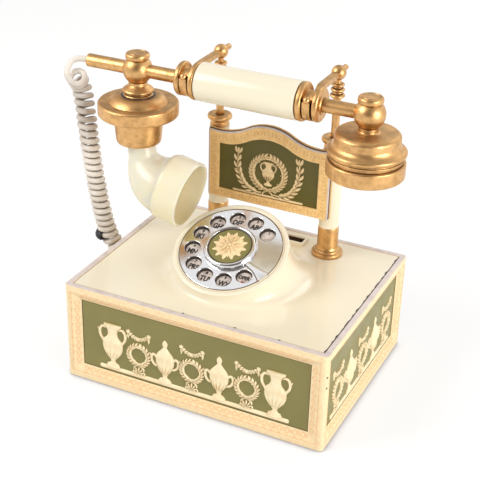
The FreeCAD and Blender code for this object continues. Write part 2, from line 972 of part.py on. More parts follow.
def make_hook_switch():
    back = post_y - yoke_half_depth - switch_gap
    body = block(-switch_half, switch_half, back - switch_depth, back, plate_top, plate_top + switch_high)
    blade_top = yoke_bottom - loose_fit
    riser = block(
        -switch_blade_half, switch_blade_half, back - 2 * switch_blade_thick, back,
        plate_top + switch_high, blade_top,
    )
    blade = block(
        -switch_blade_half, switch_blade_half, back - 2 * switch_blade_thick, post_y,
        blade_top - switch_blade_thick, blade_top,
    )
    return fused([body, riser, blade])


# Backplate between the posts

def shield_outline(inset_side, inset_low, inset_top, y):
    """The humped outline of the backplate, moved in from its edges, as edges in a plane y."""
    half = plate_half - inset_side
    low = plate_bottom + inset_low
    shoulder = plate_shoulder - inset_top
    start = hump_start - inset_top
    peak = plate_peak - inset_top
    crown = peak - start
    crown_radius = (hump_half**2 + crown**2) / (2 * crown)
    crown_slope = math.asin(hump_half / crown_radius)
    fall = math.atan2(start - shoulder, half - hump_half)
    sag = math.hypot(half - hump_half, start - shoulder) / 2 * math.tan((crown_slope - fall) / 2)
    dip_x = (half + hump_half) / 2 - sag * math.sin(fall)
    dip = (shoulder + start) / 2 - sag * math.cos(fall)
    return [
        line(V(-half, y, low), V(half, y, low)),
        line(V(half, y, low), V(half, y, shoulder)),
        arc(V(half, y, shoulder), V(dip_x, y, dip), V(hump_half, y, start)),
        arc(V(hump_half, y, start), V(0, y, peak), V(-hump_half, y, start)),
        arc(V(-hump_half, y, start), V(-dip_x, y, dip), V(-half, y, shoulder)),
        line(V(-half, y, shoulder), V(-half, y, low)),
    ]


def make_backplate():
    pieces = {}
    borders = (plate_side_border, plate_low_border, plate_top_border)
    plate = flat_piece(shield_outline(0, 0, 0, plate_front), V(0, plate_thick, 0))
    pocket = flat_piece(shield_outline(*borders, plate_front), V(0, pocket_depth, 0))
    pieces["backplate"] = plate.cut(pocket)
    panel_y = plate_front + pocket_depth - plate_panel_thick
    snug = [border + touch_gap for border in borders]
    pieces["backplate_panel"] = flat_piece(shield_outline(*snug, panel_y), V(0, plate_panel_thick, 0))
    low = plate_bottom + plate_low_border
    high = plate_shoulder - plate_top_border
    middle = (low + high) / 2
    outer = (high - low) * shield_wreath_share / 2
    inner = outer - wreath_width
    wreath = ring_outline(0, middle, outer, inner)
    vase = urn(0, middle - inner * shield_vase_share, middle + inner * shield_vase_share)
    solids = []
    for face in (wreath, vase):
        face.translate(V(0, panel_y, 0))
        solids.extend(face.extrude(V(0, -relief_thick, 0)).Solids)
    pieces["backplate_relief"] = Part.makeCompound(solids)
    plate_back = plate_front + plate_thick
    clips = []
    for side in (-1, 1):
        x = side * post_x
        clip = block(
            min(x, x - side * clip_inner), max(x, x - side * clip_inner), plate_back, plate_back + clip_reach,
            clip_low, clip_low + clip_high,
        )
        tube = Part.makeCylinder(tube_radius + slip, clip_high, V(x, post_y, clip_low))
        clips.append(clip.cut(tube))
    pieces["backplate_clips"] = Part.makeCompound([solid for clip in clips for solid in clip.Solids])
    return pieces


# Handset

def along_handset(profile, side):
    """Turns (radius, distance from the middle) points about the handset's tube."""
    return turned(profile, handset_axis, V(side, 0, 0))


def make_collar(side):
    bore = handset_tube_radius + slip
    ring_end = handle_half + ring_width
    groove_low = ring_end + ring_cone
    groove_high = groove_low + groove_width
    outer_start = groove_high + ring_cone
    profile = (
        (bore, handle_half),
        (ring_radius, handle_half),
        (ring_radius, ring_end),
        (neck_radius, groove_low),
        (neck_radius, groove_high),
        (outer_ring_radius, outer_start),
        (outer_ring_radius, outer_start + outer_ring_width),
        (outer_ring_radius - ring_cone, outer_start + outer_ring_width + ring_cone),
        (bore, outer_start + outer_ring_width + ring_cone),
    )
    return along_handset(profile, side)


def make_ball(x):
    centre = V(x, handset_y, handset_z)
    ball = Part.makeSphere(ball_radius, centre)
    ball.rotate(centre, V(0, 0, 1), 90)
    r = ball_radius
    keep = block(
        x - r, x + r, handset_y - r, handset_y + r, handset_z - ball_low_flat, handset_z + ball_top_flat
    )
    return ball.common(keep)


def make_cap(x):
    low = handset_z + ball_top_flat
    profile = (
        (0, 0),
        (cap_radius - cap_round, 0),
        (cap_radius, cap_round),
        (cap_radius, cap_high - cap_round),
        (cap_radius - cap_round, cap_high),
        (0, cap_high),
    )
    return turned(profile, V(x, handset_y, low))


def horn_path():
    """Centre points and leans of the horn's rings in the plane y = 0, from the stem's top to the bell."""
    start = math.radians(horn_stem_lean)
    end = math.radians(horn_end_lean)
    hub_x = horn_end_x + horn_bend * math.cos(end)
    hub_z = horn_end_z + horn_bend * math.sin(end)
    rings = [(V(mouth_x, 0, cup_low), 0, horn_radii[0])]
    for index, radius in enumerate(horn_radii):
        lean = start + (end - start) * index / (len(horn_radii) - 1)
        centre = V(hub_x - horn_bend * math.cos(lean), 0, hub_z - horn_bend * math.sin(lean))
        rings.append((centre, lean, radius))
    return rings


def lean_direction(lean):
    return V(math.sin(lean), 0, -math.cos(lean))


def leaning_circle(centre, lean, radius):
    edge = Part.Circle(V(0, 0, 0), V(0, 0, 1), radius).toShape()
    edge.Placement = FreeCAD.Placement(centre, FreeCAD.Rotation(V(0, 1, 0), -math.degrees(lean)))
    return Part.Wire([edge])


def horn_form(inset):
    """The horn's stem and flaring bend, its sides moved in by an inset."""
    sections = [leaning_circle(centre, lean, radius - inset) for centre, lean, radius in horn_path()]
    return Part.makeLoft(sections, True, False)


def make_transmitter():
    pieces = {}
    profile = (
        (0, ball_low),
        (mouth_neck_radius, ball_low),
        (mouth_neck_radius, washer_low + washer_high),
        (washer_radius, washer_low + washer_high),
        (washer_radius, washer_low),
        (washer_radius - slip, shoulder_low),
        (dome_radius, dome_low),
        (dome_radius, flange_top),
        (flange_radius - flange_chamfer, flange_top),
        (flange_radius, flange_top - flange_chamfer),
        (flange_radius, flange_low + flange_chamfer),
        (flange_radius - flange_chamfer, flange_low),
        (cup_top_radius, flange_low),
        (cup_low_radius, cup_low),
        (cup_bore, cup_low),
        (cup_bore, cup_bore_top),
        (0, cup_bore_top),
    )
    pieces["transmitter_cup"] = turned(profile, V(mouth_x, handset_y, 0))
    top = cup_bore_top
    pieces["transmitter_capsule"] = Part.makeCylinder(
        cup_bore - slip, capsule_thick, V(mouth_x, handset_y, top - capsule_thick)
    )
    stem_top, lean, radius = horn_path()[0]
    plug = Part.makeCylinder(cup_bore - slip, horn_plug_high, stem_top)
    hole = Part.makeCylinder(radius - horn_wall, horn_plug_high, stem_top)
    outside = fused([plug, horn_form(0)])
    inside = fused([hole, horn_form(horn_wall)])
    pieces["horn"] = outside.cut(inside)
    centre, lean, radius = horn_path()[-1]
    axis = lean_direction(lean)
    bell = (
        (radius - horn_wall, 0),
        (bell_back_radius, 0),
        (bell_back_radius, bell_seat),
        (bell_radius - bell_seat / 4, bell_seat),
        (bell_radius, bell_seat * 2),
        (bell_radius, bell_length - bell_seat / 2),
        (bell_radius - bell_seat / 2, bell_length),
        (bell_radius - horn_wall, bell_length),
        (bell_radius - horn_wall - bell_seat / 4, bell_length - bell_seat),
    )
    pieces["horn_bell"] = turned(bell, centre, axis)
    for name in ("horn", "horn_bell"):
        pieces[name].translate(V(0, handset_y, 0))
    return pieces


def make_receiver():
    pieces = {}
    profile = (
        (0, ball_low),
        (ear_neck_radius, ball_low),
        (ear_neck_radius, drum_top),
        (drum_radius - ear_cap_round, drum_top),
        (drum_radius, drum_top - ear_cap_round),
        (drum_radius, drum_low),
        (drum_waist_radius, drum_waist),
        (ear_flange_radius, ear_flange_top),
        (ear_flange_radius, ear_flange_low),
        (thread_radius, ear_flange_low),
        (thread_radius, thread_low),
        (ear_bore, thread_low),
        (ear_bore, ear_bore_top),
        (0, ear_bore_top),
    )
    pieces["receiver_shell"] = turned(profile, V(ear_x, handset_y, 0))
    capsule_low = thread_low
    pieces["receiver_capsule"] = Part.makeCylinder(
        ear_bore - slip, ear_capsule_thick, V(ear_x, handset_y, capsule_low)
    )
    cap_low = thread_low - ear_cap_high
    cap = turned(
        (
            (0, cap_low + ear_dish_depth),
            (ear_dish_radius, cap_low),
            (ear_cap_radius - ear_cap_round, cap_low),
            (ear_cap_radius, cap_low + ear_cap_round),
            (ear_cap_radius, thread_low - ear_cap_round / 2),
            (ear_cap_radius - ear_cap_round / 2, thread_low),
            (0, thread_low),
        ),
        V(ear_x, handset_y, 0),
    )
    holes = [Part.makeCylinder(ear_hole_radius, ear_cap_high, V(ear_x, handset_y, cap_low))]
    for index in range(ear_holes):
        place = dial_point(ear_hole_circle, index * 360 / ear_holes) + V(ear_x, handset_y, cap_low)
        holes.append(Part.makeCylinder(ear_hole_radius, ear_cap_high, place))
    pieces["ear_cap"] = cap.cut(holes)
    return pieces


def make_handset():
    pieces = {}
    end = V(ear_x, handset_y, handset_z)
    start = V(handset_tube_left, handset_y, handset_z)
    tube = bar(handset_tube_radius, start, end)
    pieces["handset_tube"] = tube.cut(bar(handset_tube_bore, start + V(handset_tube_plug, 0, 0), end))
    passage = bar(handset_tube_radius + slip, start, end)
    handle = bar(handle_radius, V(-handle_half, handset_y, handset_z), V(handle_half, handset_y, handset_z))
    pieces["handle_sleeve"] = handle.cut(passage)
    pieces["handset_collars"] = Part.makeCompound([make_collar(-1), make_collar(1)])
    pieces["left_ball"] = make_ball(mouth_x).cut(passage)
    pieces["right_ball"] = make_ball(ear_x).cut(passage)
    pieces["ball_caps"] = Part.makeCompound([make_cap(mouth_x), make_cap(ear_x)])
    pieces.update(make_transmitter())
    pieces.update(make_receiver())
    return pieces


# Handset cord

def arc_on_tangent(start, tangent, end):
    """The arc from a point along a tangent to another point."""
    chord = end - start
    along = chord * (1 / chord.Length)
    side = tangent - along * tangent.dot(along)
    if side.Length < 1e-6:
        return line(start, end)
    angle = math.atan2(side.Length, tangent.dot(along))
    bulge = side * (chord.Length / 2 * math.tan(angle / 2) / side.Length)
    return arc(start, (start + end) * 0.5 + bulge, end)


def biarc(start, start_tangent, end, end_tangent):
    """Two arcs that leave and arrive along the tangents and meet smoothly."""
    gap = end - start
    both = start_tangent + end_tangent
    lean = 2 * (1 - start_tangent.dot(end_tangent))
    across = gap.dot(both)
    reach = (-across + math.sqrt(across * across + lean * gap.dot(gap))) / lean
    first = start + start_tangent * reach
    second = end - end_tangent * reach
    middle = (first + second) * 0.5
    joint = (second - first) * (1 / (second - first).Length)
    return [arc_on_tangent(start, start_tangent, middle), arc_on_tangent(middle, joint, end)]


def axis_curve():
    """The middle line of the coil, a quadratic spline drawn by its points."""
    curve = Part.BSplineCurve()
    spans = len(coil_axis) - 2
    knots = [index / spans for index in range(spans + 1)]
    mults = [3] + [1] * (spans - 1) + [3]
    curve.buildFromPolesMultsKnots(list(coil_axis), mults, knots, False, 2)
    return curve


def coil_pitch(share):
    """The rise of one turn at a share of the coil's length."""
    if share < coil_bend_start:
        pitch = coil_top_pitch + (coil_low_pitch - coil_top_pitch) * share / coil_bend_start
    else:
        pitch = coil_bend_pitch
    ease = max(0.0, 1 - min(share, 1 - share) / coil_end_share)
    return pitch + (coil_end_pitch - pitch) * ease


def coil_points():
    """Points and tangents of the coil's wire, one each half turn, and every fine point for the gap."""
    curve = axis_curve()
    length = curve.length()
    turn = first_turn = -math.pi / 2
    fine = []
    step = length / coil_steps
    turned = sum(2 * math.pi * step / coil_pitch(index / coil_steps) for index in range(coil_steps))
    half_turns = int(turned // math.pi)
    half_turns = half_turns - 1 + half_turns % 2
    winding = half_turns * math.pi / turned
    for index in range(coil_steps + 1):
        share = index / coil_steps
        at = curve.parameterAtDistance(share * length, 0)
        ahead = curve.tangent(at)[0]
        out = V(0, 1, 0).cross(ahead).normalize()
        back = ahead.cross(out)
        radius = coil_top_radius + (coil_low_radius - coil_top_radius) * share
        place = curve.value(at) + out * (radius * math.cos(turn)) + back * (radius * math.sin(turn))
        fine.append((turn, place))
        turn = turn + winding * 2 * math.pi * step / coil_pitch(share)
    points = []
    index = 0
    for half in range(half_turns + 1):
        while index < coil_steps and fine[index][0] < first_turn + half * math.pi - 1e-9:
            index = index + 1
        low = max(index - 1, 0)
        high = min(index + 1, len(fine) - 1)
        tangent = fine[high][1] - fine[low][1]
        points.append((fine[index][1], tangent * (1 / tangent.Length)))
    last = index
    return points, [place for turn, place in fine[: last + 1]], [turn for turn, place in fine[: last + 1]]


def least_gap(places, turns):
    """The least clear distance between one turn of the wire and the next."""
    best = 1e9
    stride = 6
    count = len(places)
    for index in range(0, count, stride):
        other = index
        while other < count and turns[other] < turns[index] + 1.5 * math.pi:
            other = other + stride
        while other < count and turns[other] < turns[index] + 2.5 * math.pi:
            best = min(best, (places[other] - places[index]).Length)
            other = other + stride
    return best - cord_diameter


def pipe(edges, radius):
    """A round tube along joined edges."""
    first = edges[0]
    start = first.valueAt(first.FirstParameter)
    circle = Part.Wire([Part.Circle(start, first.tangentAt(first.FirstParameter), radius).toShape()])
    shell = Part.BRepOffsetAPI.MakePipeShell(Part.Wire(edges))
    shell.add(circle)
    shell.build()
    shell.makeSolid()
    return shell.shape()


def smooth_route(name, points):
    """Straight runs joined by arcs as large as the runs allow."""
    edges = []
    here = points[0]
    for before, corner, after in zip(points, points[1:], points[2:]):
        back = before - corner
        ahead = after - corner
        turn = math.pi - back.getAngle(ahead)
        reach = 0.45 * min(back.Length, ahead.Length)
        print(name, "bend radius", round(reach / math.tan(turn / 2), 1))
        enter = corner + back * (reach / back.Length)
        leave = corner + ahead * (reach / ahead.Length)
        edges.append(line(here, enter))
        direction = (corner - enter) * (1 / reach)
        edges.append(arc_on_tangent(enter, direction, leave))
        here = leave
    edges.append(line(here, points[-1]))
    return edges


def make_cord():
    """The cord's pieces, and the place of the grommet that it runs into."""
    pieces = {}
    points, places, turns = coil_points()
    print("coil turns", (len(points) - 1) / 2, "least gap", round(least_gap(places, turns), 2))
    first, first_tangent = points[0]
    last, last_tangent = points[-1]
    coil_start = first - first_tangent * cord_diameter
    coil_end = last + last_tangent * cord_diameter
    edges = [line(coil_start, first)]
    for (start, start_tangent), (end, end_tangent) in zip(points, points[1:]):
        edges.extend(biarc(start, start_tangent, end, end_tangent))
    edges.append(line(last, coil_end))
    radius = cord_diameter / 2
    pieces["cord_coil"] = pipe(edges, radius)
    wire_length = sum(edge.Length for edge in edges)
    print("coil wire length", round(wire_length, 1), "volume share",
          round(pieces["cord_coil"].Volume / (wire_length * math.pi * radius * radius), 4))

    tube_end = V(handset_tube_left - lead_gap, handset_y, handset_z)
    drop = (handset_z - coil_start.z) / -first_tangent.z
    lead_points = [tube_end, coil_start - first_tangent * drop, coil_start]
    lead = smooth_route("lead", lead_points)
    pieces["cord_lead"] = pipe(lead, radius)

    corner = coil_end + last_tangent * tail_run
    face = V(-half_width + panel_depth - grommet_flange_thick, corner.y, corner.z)
    tail = smooth_route("tail", [coil_end, corner, face])
    pieces["cord_tail"] = pipe(tail, radius)

    worn = edges[-3 - 4 * sleeve_turns]
    outer = pipe([worn], radius + cord_sleeve_wall)
    inner = pipe([worn], radius + slip / 2)
    pieces["cord_sleeve"] = outer.cut(inner)
    return pieces, face


def make_grommet(face):
    across = V(1, 0, 0)
    seat = face + across * grommet_flange_thick
    flange = Part.makeCylinder(grommet_flange_radius, grommet_flange_thick, face, across)
    body = Part.makeCylinder(grommet_body_radius, grommet_body_length, seat, across)
    return flange.fuse(body).removeSplitter(), seat


def make_inlet():
    seat_y = half_depth - panel_depth
    flange = bar(
        inlet_flange_radius, V(inlet_x, seat_y, inlet_z), V(inlet_x, seat_y + inlet_flange_thick, inlet_z)
    )
    inner_end = V(inlet_x, seat_y - inlet_body_length, inlet_z)
    body = bar(inlet_body_radius, inner_end, V(inlet_x, seat_y, inlet_z))
    bore = bar(inlet_bore, inner_end, V(inlet_x, seat_y + inlet_flange_thick, inlet_z))
    return flange.fuse(body).cut(bore).removeSplitter()


# Ringer and network

def gong_places():
    swing = (clapper_pivot_x - gong_x) * math.sin(math.radians(clapper_swing))
    offset = clapper_ball + swing + clapper_strike_gap + gong_radius
    return [V(gong_x, side * offset, 0) for side in (-1, 1)]


def make_ringer():
    pieces = {}
    floor = plate_top + bracket_thick
    gong_top = gong_low + gong_high
    gongs = []
    arm_end = max(place.y for place in gong_places())
    cross = block(
        gong_x - 2 * gong_post_radius, gong_x + 2 * gong_post_radius,
        -arm_end - 2 * gong_post_radius, arm_end + 2 * gong_post_radius,
        plate_top, floor,
    )
    coil_face = clapper_pivot_x + armature_thick / 2 + bobbin_gap
    coil_back = coil_face + bobbin_length
    strip = block(gong_x, coil_back + bracket_thick, -bracket_half, bracket_half, plate_top, floor)
    upright = block(
        coil_back, coil_back + bracket_thick, -bracket_half, bracket_half,
        floor, clapper_z + bobbin_radius,
    )
    pin = bar(
        clapper_pin_radius, V(clapper_pivot_x, 0, floor), V(clapper_pivot_x, 0, clapper_z + armature_high)
    )
    shapes = [cross, strip, upright, pin]
    for place in gong_places():
        post_top = gong_top - gong_wall
        shapes.append(bar(gong_post_radius, place + V(0, 0, floor), place + V(0, 0, post_top)))
        profile = (
            (0, gong_top),
            (gong_radius * 0.8, gong_top),
            (gong_radius, gong_top - gong_high * 0.3),
            (gong_radius, gong_low),
            (gong_radius - gong_wall, gong_low),
            (gong_radius - gong_wall, gong_top - gong_high * 0.3),
            (gong_radius * 0.8 - gong_wall / 2, post_top),
            (0, post_top),
        )
        gongs.append(turned(profile, place))
    pieces["ringer_bracket"] = fused(shapes)
    pieces["gongs"] = Part.makeCompound(gongs)
    coils = []
    for side in (-1, 1):
        coils.append(
            bar(
                bobbin_radius,
                V(coil_face, side * bobbin_spread, clapper_z),
                V(coil_back, side * bobbin_spread, clapper_z),
            )
        )
    pieces["ringer_coils"] = Part.makeCompound(coils)
    armature = block(
        clapper_pivot_x - armature_thick / 2, clapper_pivot_x + armature_thick / 2,
        -armature_half, armature_half,
        clapper_z - armature_high / 2, clapper_z + armature_high / 2,
    )
    hub = bar(
        clapper_pin_radius + armature_thick / 2,
        V(clapper_pivot_x, 0, clapper_z - armature_high / 2),
        V(clapper_pivot_x, 0, clapper_z + armature_high / 2),
    )
    arm = bar(clapper_arm_radius, V(gong_x, 0, clapper_z), V(clapper_pivot_x, 0, clapper_z))
    ball = Part.makeSphere(clapper_ball, V(gong_x, 0, clapper_z))
    hole = bar(
        clapper_pin_radius + slip,
        V(clapper_pivot_x, 0, clapper_z - armature_high),
        V(clapper_pivot_x, 0, clapper_z + armature_high),
    )
    pieces["clapper"] = fused([armature, hub, arm, ball]).cut(hole)
    for piece in pieces.values():
        piece.translate(V(0, ringer_y, 0))
    return pieces


def make_network():
    body = block(
        network_left, network_right, network_front, network_back,
        plate_top, plate_top + network_high,
    )
    shapes = [body]
    pitch = (network_back - network_front) / 6
    for column in (0.25, 0.75):
        x = network_left + (network_right - network_left) * column
        for row in range(5):
            y = network_front + (row + 1) * pitch
            top = plate_top + network_high
            shapes.append(bar(terminal_radius, V(x, y, top), V(x, y, top + terminal_high)))
    return fused(shapes)


def main():
    os.makedirs("parts", exist_ok=True)
    pieces = {"case_frame": make_frame(), "top_cover": make_top_cover()}
    cord, face = make_cord()
    pieces.update(cord)
    pieces["cord_grommet"], seat = make_grommet(face)
    pieces["line_inlet"] = make_inlet()
    for name, turn, half, distance in case_sides():
        panel = on_side(make_panel(half, distance), turn)
        if name == "left":
            panel = panel.cut(bar(grommet_body_radius + slip, seat, seat + V(panel_thick, 0, 0)))
        if name == "rear":
            outer = V(inlet_x, half_depth - panel_depth, inlet_z)
            panel = panel.cut(bar(inlet_body_radius + slip, outer, outer - V(0, panel_thick, 0)))
        pieces[name + "_panel"] = panel
    pieces["case_reliefs"] = make_case_reliefs(face.y)
    pieces["base_plate"] = make_base_plate()
    pieces["base_screws"] = make_base_screws()
    pieces["base_felt"] = make_felt()
    for name, piece in make_dial().items():
        pieces[name] = on_dial(piece)
    pieces.update(make_posts())
    for name, side in (("left", -1), ("right", 1)):
        pieces[name + "_plunger"] = make_plunger(side)
        pieces[name + "_hook"] = make_hook(side)
    pieces["plunger_yoke"] = make_yoke()
    pieces["cradle_springs"] = make_cradle_springs()
    pieces["hook_switch"] = make_hook_switch()
    pieces.update(make_backplate())
    pieces.update(make_handset())
    pieces.update(make_ringer())
    pieces["network_block"] = make_network()
    for name, piece in pieces.items():
        save(name, piece)
    print(len(pieces), "pieces")


main()
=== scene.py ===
from math import asin, atan2, cos, degrees, hypot, pi, radians, sin, sqrt, tan

import bmesh
import bpy
from mathutils import Matrix, Vector


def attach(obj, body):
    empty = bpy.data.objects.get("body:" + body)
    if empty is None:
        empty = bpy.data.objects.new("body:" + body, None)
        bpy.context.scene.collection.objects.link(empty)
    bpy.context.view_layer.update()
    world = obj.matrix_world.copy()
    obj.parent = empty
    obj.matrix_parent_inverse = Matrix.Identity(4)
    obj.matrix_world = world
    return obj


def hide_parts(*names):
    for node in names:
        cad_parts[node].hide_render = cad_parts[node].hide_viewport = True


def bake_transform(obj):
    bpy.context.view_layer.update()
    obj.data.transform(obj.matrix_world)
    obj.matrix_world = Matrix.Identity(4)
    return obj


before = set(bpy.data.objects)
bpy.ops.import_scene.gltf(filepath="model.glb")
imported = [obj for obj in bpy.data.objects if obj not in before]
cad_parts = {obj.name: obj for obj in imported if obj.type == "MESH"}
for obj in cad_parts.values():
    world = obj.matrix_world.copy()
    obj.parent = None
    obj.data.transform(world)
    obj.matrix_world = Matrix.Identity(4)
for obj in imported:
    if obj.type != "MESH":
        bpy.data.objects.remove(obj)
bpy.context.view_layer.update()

# Rotary telephone with an upright cradle. Shapes are in millimetres in the part's own frame.
MM = 0.001

# Sizes repeated from the part's source
handset_y = 7.0
handset_z = 215.5
mouth_x = -89.5
ear_x = 88.0
cup_low = 160.0
horn_end = Vector((-67.0, handset_y, 129.0))
horn_stem_lean = radians(12.0)
horn_end_lean = radians(78.0)
horn_bend = 24.6
horn_wall = 2.2
post_x = 46.6
post_y = 55.0
arm_z = 222.3
case_half_x = 102.5
case_half_y = 80.0
case_top = 77.5
case_foot = 0.8
panel_depth = 3.4
side_border = 12.3
rail_border = 10.8
face_band = 5.0
bevel_depth = 3.0
slot_y = 60.0
dial_tilt = radians(23.6)
dial_centre = Vector((0, -18.0, 103.5))
finger_hole_circle = 28.5
first_hole_angle = 44.0
finger_hole_step = 30.0
stop_angle = radians(-28.0)
plate_front = 42.6
plate_half = 48.8
plate_bottom = 111.0
plate_shoulder = 165.0
plate_panel_sunk = 1.5

# Shapes, as pairs of corner lists and face lists

def turns(count):
    """Angles at even steps round a circle."""
    return [2 * pi * step / count for step in range(count)]


def ring(centre, across, other, count):
    """Points round a centre, with two vectors as the ring's half axes."""
    return [centre + across * cos(turn) + other * sin(turn) for turn in turns(count)]


def unit(angle):
    """A (u, v) vector of length 1, its angle in degrees from U."""
    turn = radians(angle)
    return Vector((cos(turn), sin(turn)))


def degrees_of(way):
    """The angle of a (u, v) vector from U."""
    return degrees(atan2(way.y, way.x))


def heading(path, index):
    """The direction of a path at one of its points."""
    return (path[min(index + 1, len(path) - 1)] - path[max(index - 1, 0)]).normalized()


def listed(value, count):
    """A list as it is, or a number repeated."""
    return value if isinstance(value, list) else [value] * count


def joined(shapes):
    """Several shapes as one."""
    corners, faces = [], []
    for shape_corners, shape_faces in shapes:
        start = len(corners)
        corners.extend(shape_corners)
        faces.extend([tuple(index + start for index in face) for face in shape_faces])
    return corners, faces


def moved(shape, matrix):
    """A shape with its corners moved by a matrix."""
    return [matrix @ corner for corner in shape[0]], shape[1]


def placed(shape, origin, axis=(0, 0, 1)):
    """Moves a shape made about Z so that its Z lies along an axis through an origin."""
    turn = Vector((0, 0, 1)).rotation_difference(Vector(axis)).to_matrix().to_4x4()
    return moved(shape, Matrix.Translation(Vector(origin)) @ turn)


def skin(rows, loop=False, capped=False):
    """A shape over rings of corners, where a ring of one corner is a point; caps close its ends."""
    corners, rings, faces = [], [], []
    for row in rows:
        rings.append(range(len(corners), len(corners) + len(row)))
        corners.extend(row)
    pairs = list(zip(rings, rings[1:]))
    if loop:
        pairs.append((rings[-1], rings[0]))
    for low, high in pairs:
        count = max(len(low), len(high))
        for step in range(count if count > 1 else 0):
            after = (step + 1) % count
            face = (low[step % len(low)], low[after % len(low)],
                    high[after % len(high)], high[step % len(high)])
            faces.append(tuple(dict.fromkeys(face)))
    if capped:
        faces.append(tuple(reversed(rings[0])))
        if len(rings[-1]) > 1:
            faces.append(tuple(rings[-1]))
    return corners, faces


def rounded(points, reach, loop):
    """An outline with its corners eased by a short curve; a third number is a corner's own reach."""
    most_of_side = 0.45
    least_cut = 0.02
    steps = 4
    eased = []
    count = len(points)
    for index, point in enumerate(points):
        corner = Vector(point[:2])
        back = Vector(points[index - 1][:2]) - corner
        ahead = Vector(points[(index + 1) % count][:2]) - corner
        wanted = point[2] if len(point) > 2 else reach
        cut = min(wanted, most_of_side * back.length, most_of_side * ahead.length)
        if cut < least_cut or (not loop and index in (0, count - 1)):
            eased.append(corner)
            continue
        start = corner + back.normalized() * cut
        end = corner + ahead.normalized() * cut
        for step in range(steps + 1):
            share = step / steps
            eased.append(start * (1 - share) ** 2 + corner * 2 * share * (1 - share) + end * share ** 2)
    return eased


def lathe(points, reach=0.5, loop=False, segments=96):
    """A turned shape from (radius, height) points, eased at its corners."""
    on_axis = 1e-6
    rows = []
    for radius, height in rounded(points, reach, loop):
        count = segments if radius > on_axis else 1
        rows.append(ring(Vector((0, 0, height)), Vector((radius, 0, 0)), Vector((0, radius, 0)), count))
    return skin(rows, loop)


def tube(path, radius, sides):
    """A round tube along a path of points, with flat ends; radius may be a list."""
    rows = []
    across = heading(path, 0).orthogonal().normalized()
    for index, (point, reach) in enumerate(zip(path, listed(radius, len(path)))):
        ahead = heading(path, index)
        across = (across - ahead * across.dot(ahead)).normalized()
        other = ahead.cross(across)
        rows.append(ring(point, across * reach, other * reach, sides))
    return skin(rows, capped=True)


def baked(data):
    """The shape of a curve or of words, whose own data is then removed."""
    holder = bpy.data.objects.new("baked", data)
    bpy.context.scene.collection.objects.link(holder)
    bpy.context.view_layer.update()
    mesh = bpy.data.meshes.new_from_object(holder)
    corners = [corner.co.copy() for corner in mesh.vertices]
    faces = [tuple(face.vertices) for face in mesh.polygons]
    bpy.data.meshes.remove(mesh)
    bpy.data.objects.remove(holder)
    bpy.data.curves.remove(data)
    return corners, faces


def round_spline(data, circle):
    """Adds a circle, given as (radius, x, y), to a flat curve."""
    radius, x, y = circle
    quarter_handle = 0.5523 * radius
    spline = data.splines.new("BEZIER")
    spline.bezier_points.add(3)
    for point, turn in zip(spline.bezier_points, turns(4)):
        way = Vector((-sin(turn), cos(turn), 0))
        point.co = Vector((x, y, 0)) + Vector((cos(turn), sin(turn), 0)) * radius
        point.handle_left = point.co - way * quarter_handle
        point.handle_right = point.co + way * quarter_handle
    spline.use_cyclic_u = True
    spline.resolution_u = 14


def loop_spline(data, loop):
    """Adds a closed loop of (x, y) points to a flat curve."""
    spline = data.splines.new("POLY")
    spline.points.add(len(loop) - 1)
    for target, point in zip(spline.points, loop):
        target.co = (point[0], point[1], 0, 1)
    spline.use_cyclic_u = True


def flat_plate(loops, low, high, edge=0.0, draw=loop_spline):
    """A plate with eased edges between two heights, from an outline and the loops of its holes."""
    data = bpy.data.curves.new("plate", "CURVE")
    data.dimensions = "2D"
    data.fill_mode = "BOTH"
    for loop in loops:
        draw(data, loop)
    data.extrude = (high - low) / 2 - edge
    data.bevel_depth = edge
    data.bevel_resolution = 2
    data.offset = -edge
    return moved(baked(data), Matrix.Translation((0, 0, (low + high) / 2)))


def soft_rectangle(half_x, half_y, radius, y=0.0):
    """A rectangle with rounded corners as a loop of points."""
    steps = 6
    loop = []
    for quarter, (side_x, side_y) in enumerate(((1, 1), (-1, 1), (-1, -1), (1, -1))):
        for step in range(steps + 1):
            turn = pi / 2 * (quarter + step / steps)
            loop.append((side_x * (half_x - radius) + radius * cos(turn),
                         y + side_y * (half_y - radius) + radius * sin(turn)))
    return loop


def piece(name, shape, material, body=None, stands_for=(), sharp=40):
    """A mesh object in the telephone's frame, with its material, riding on a body."""
    mesh = bpy.data.meshes.new(name)
    mesh.from_pydata([corner * MM for corner in shape[0]], [], shape[1])
    work = bmesh.new()
    work.from_mesh(mesh)
    bmesh.ops.recalc_face_normals(work, faces=work.faces)
    work.to_mesh(mesh)
    work.free()
    mesh.shade_smooth()
    mesh.set_sharp_from_angle(angle=radians(sharp))
    mesh.materials.append(material)
    thing = bpy.data.objects.new(name, mesh)
    bpy.context.scene.collection.objects.link(thing)
    if body:
        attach(thing, body)
    if stands_for:
        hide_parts(*stands_for)
    return thing


def trim(name, shape, material, sharp=60):
    """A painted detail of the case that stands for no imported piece."""
    piece(name, shape, material, "base", (), sharp)


def turned(name, points, material, body, node, places, reach=0.3, loop=False, segments=96,
           axis=(0, 0, 1), sharp=40):
    """A turned piece at one or more places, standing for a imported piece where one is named."""
    shape = lathe(points, reach, loop, segments)
    whole = joined([placed(shape, place, axis) for place in places])
    piece(name, whole, material, body, (node,) if node else (), sharp)


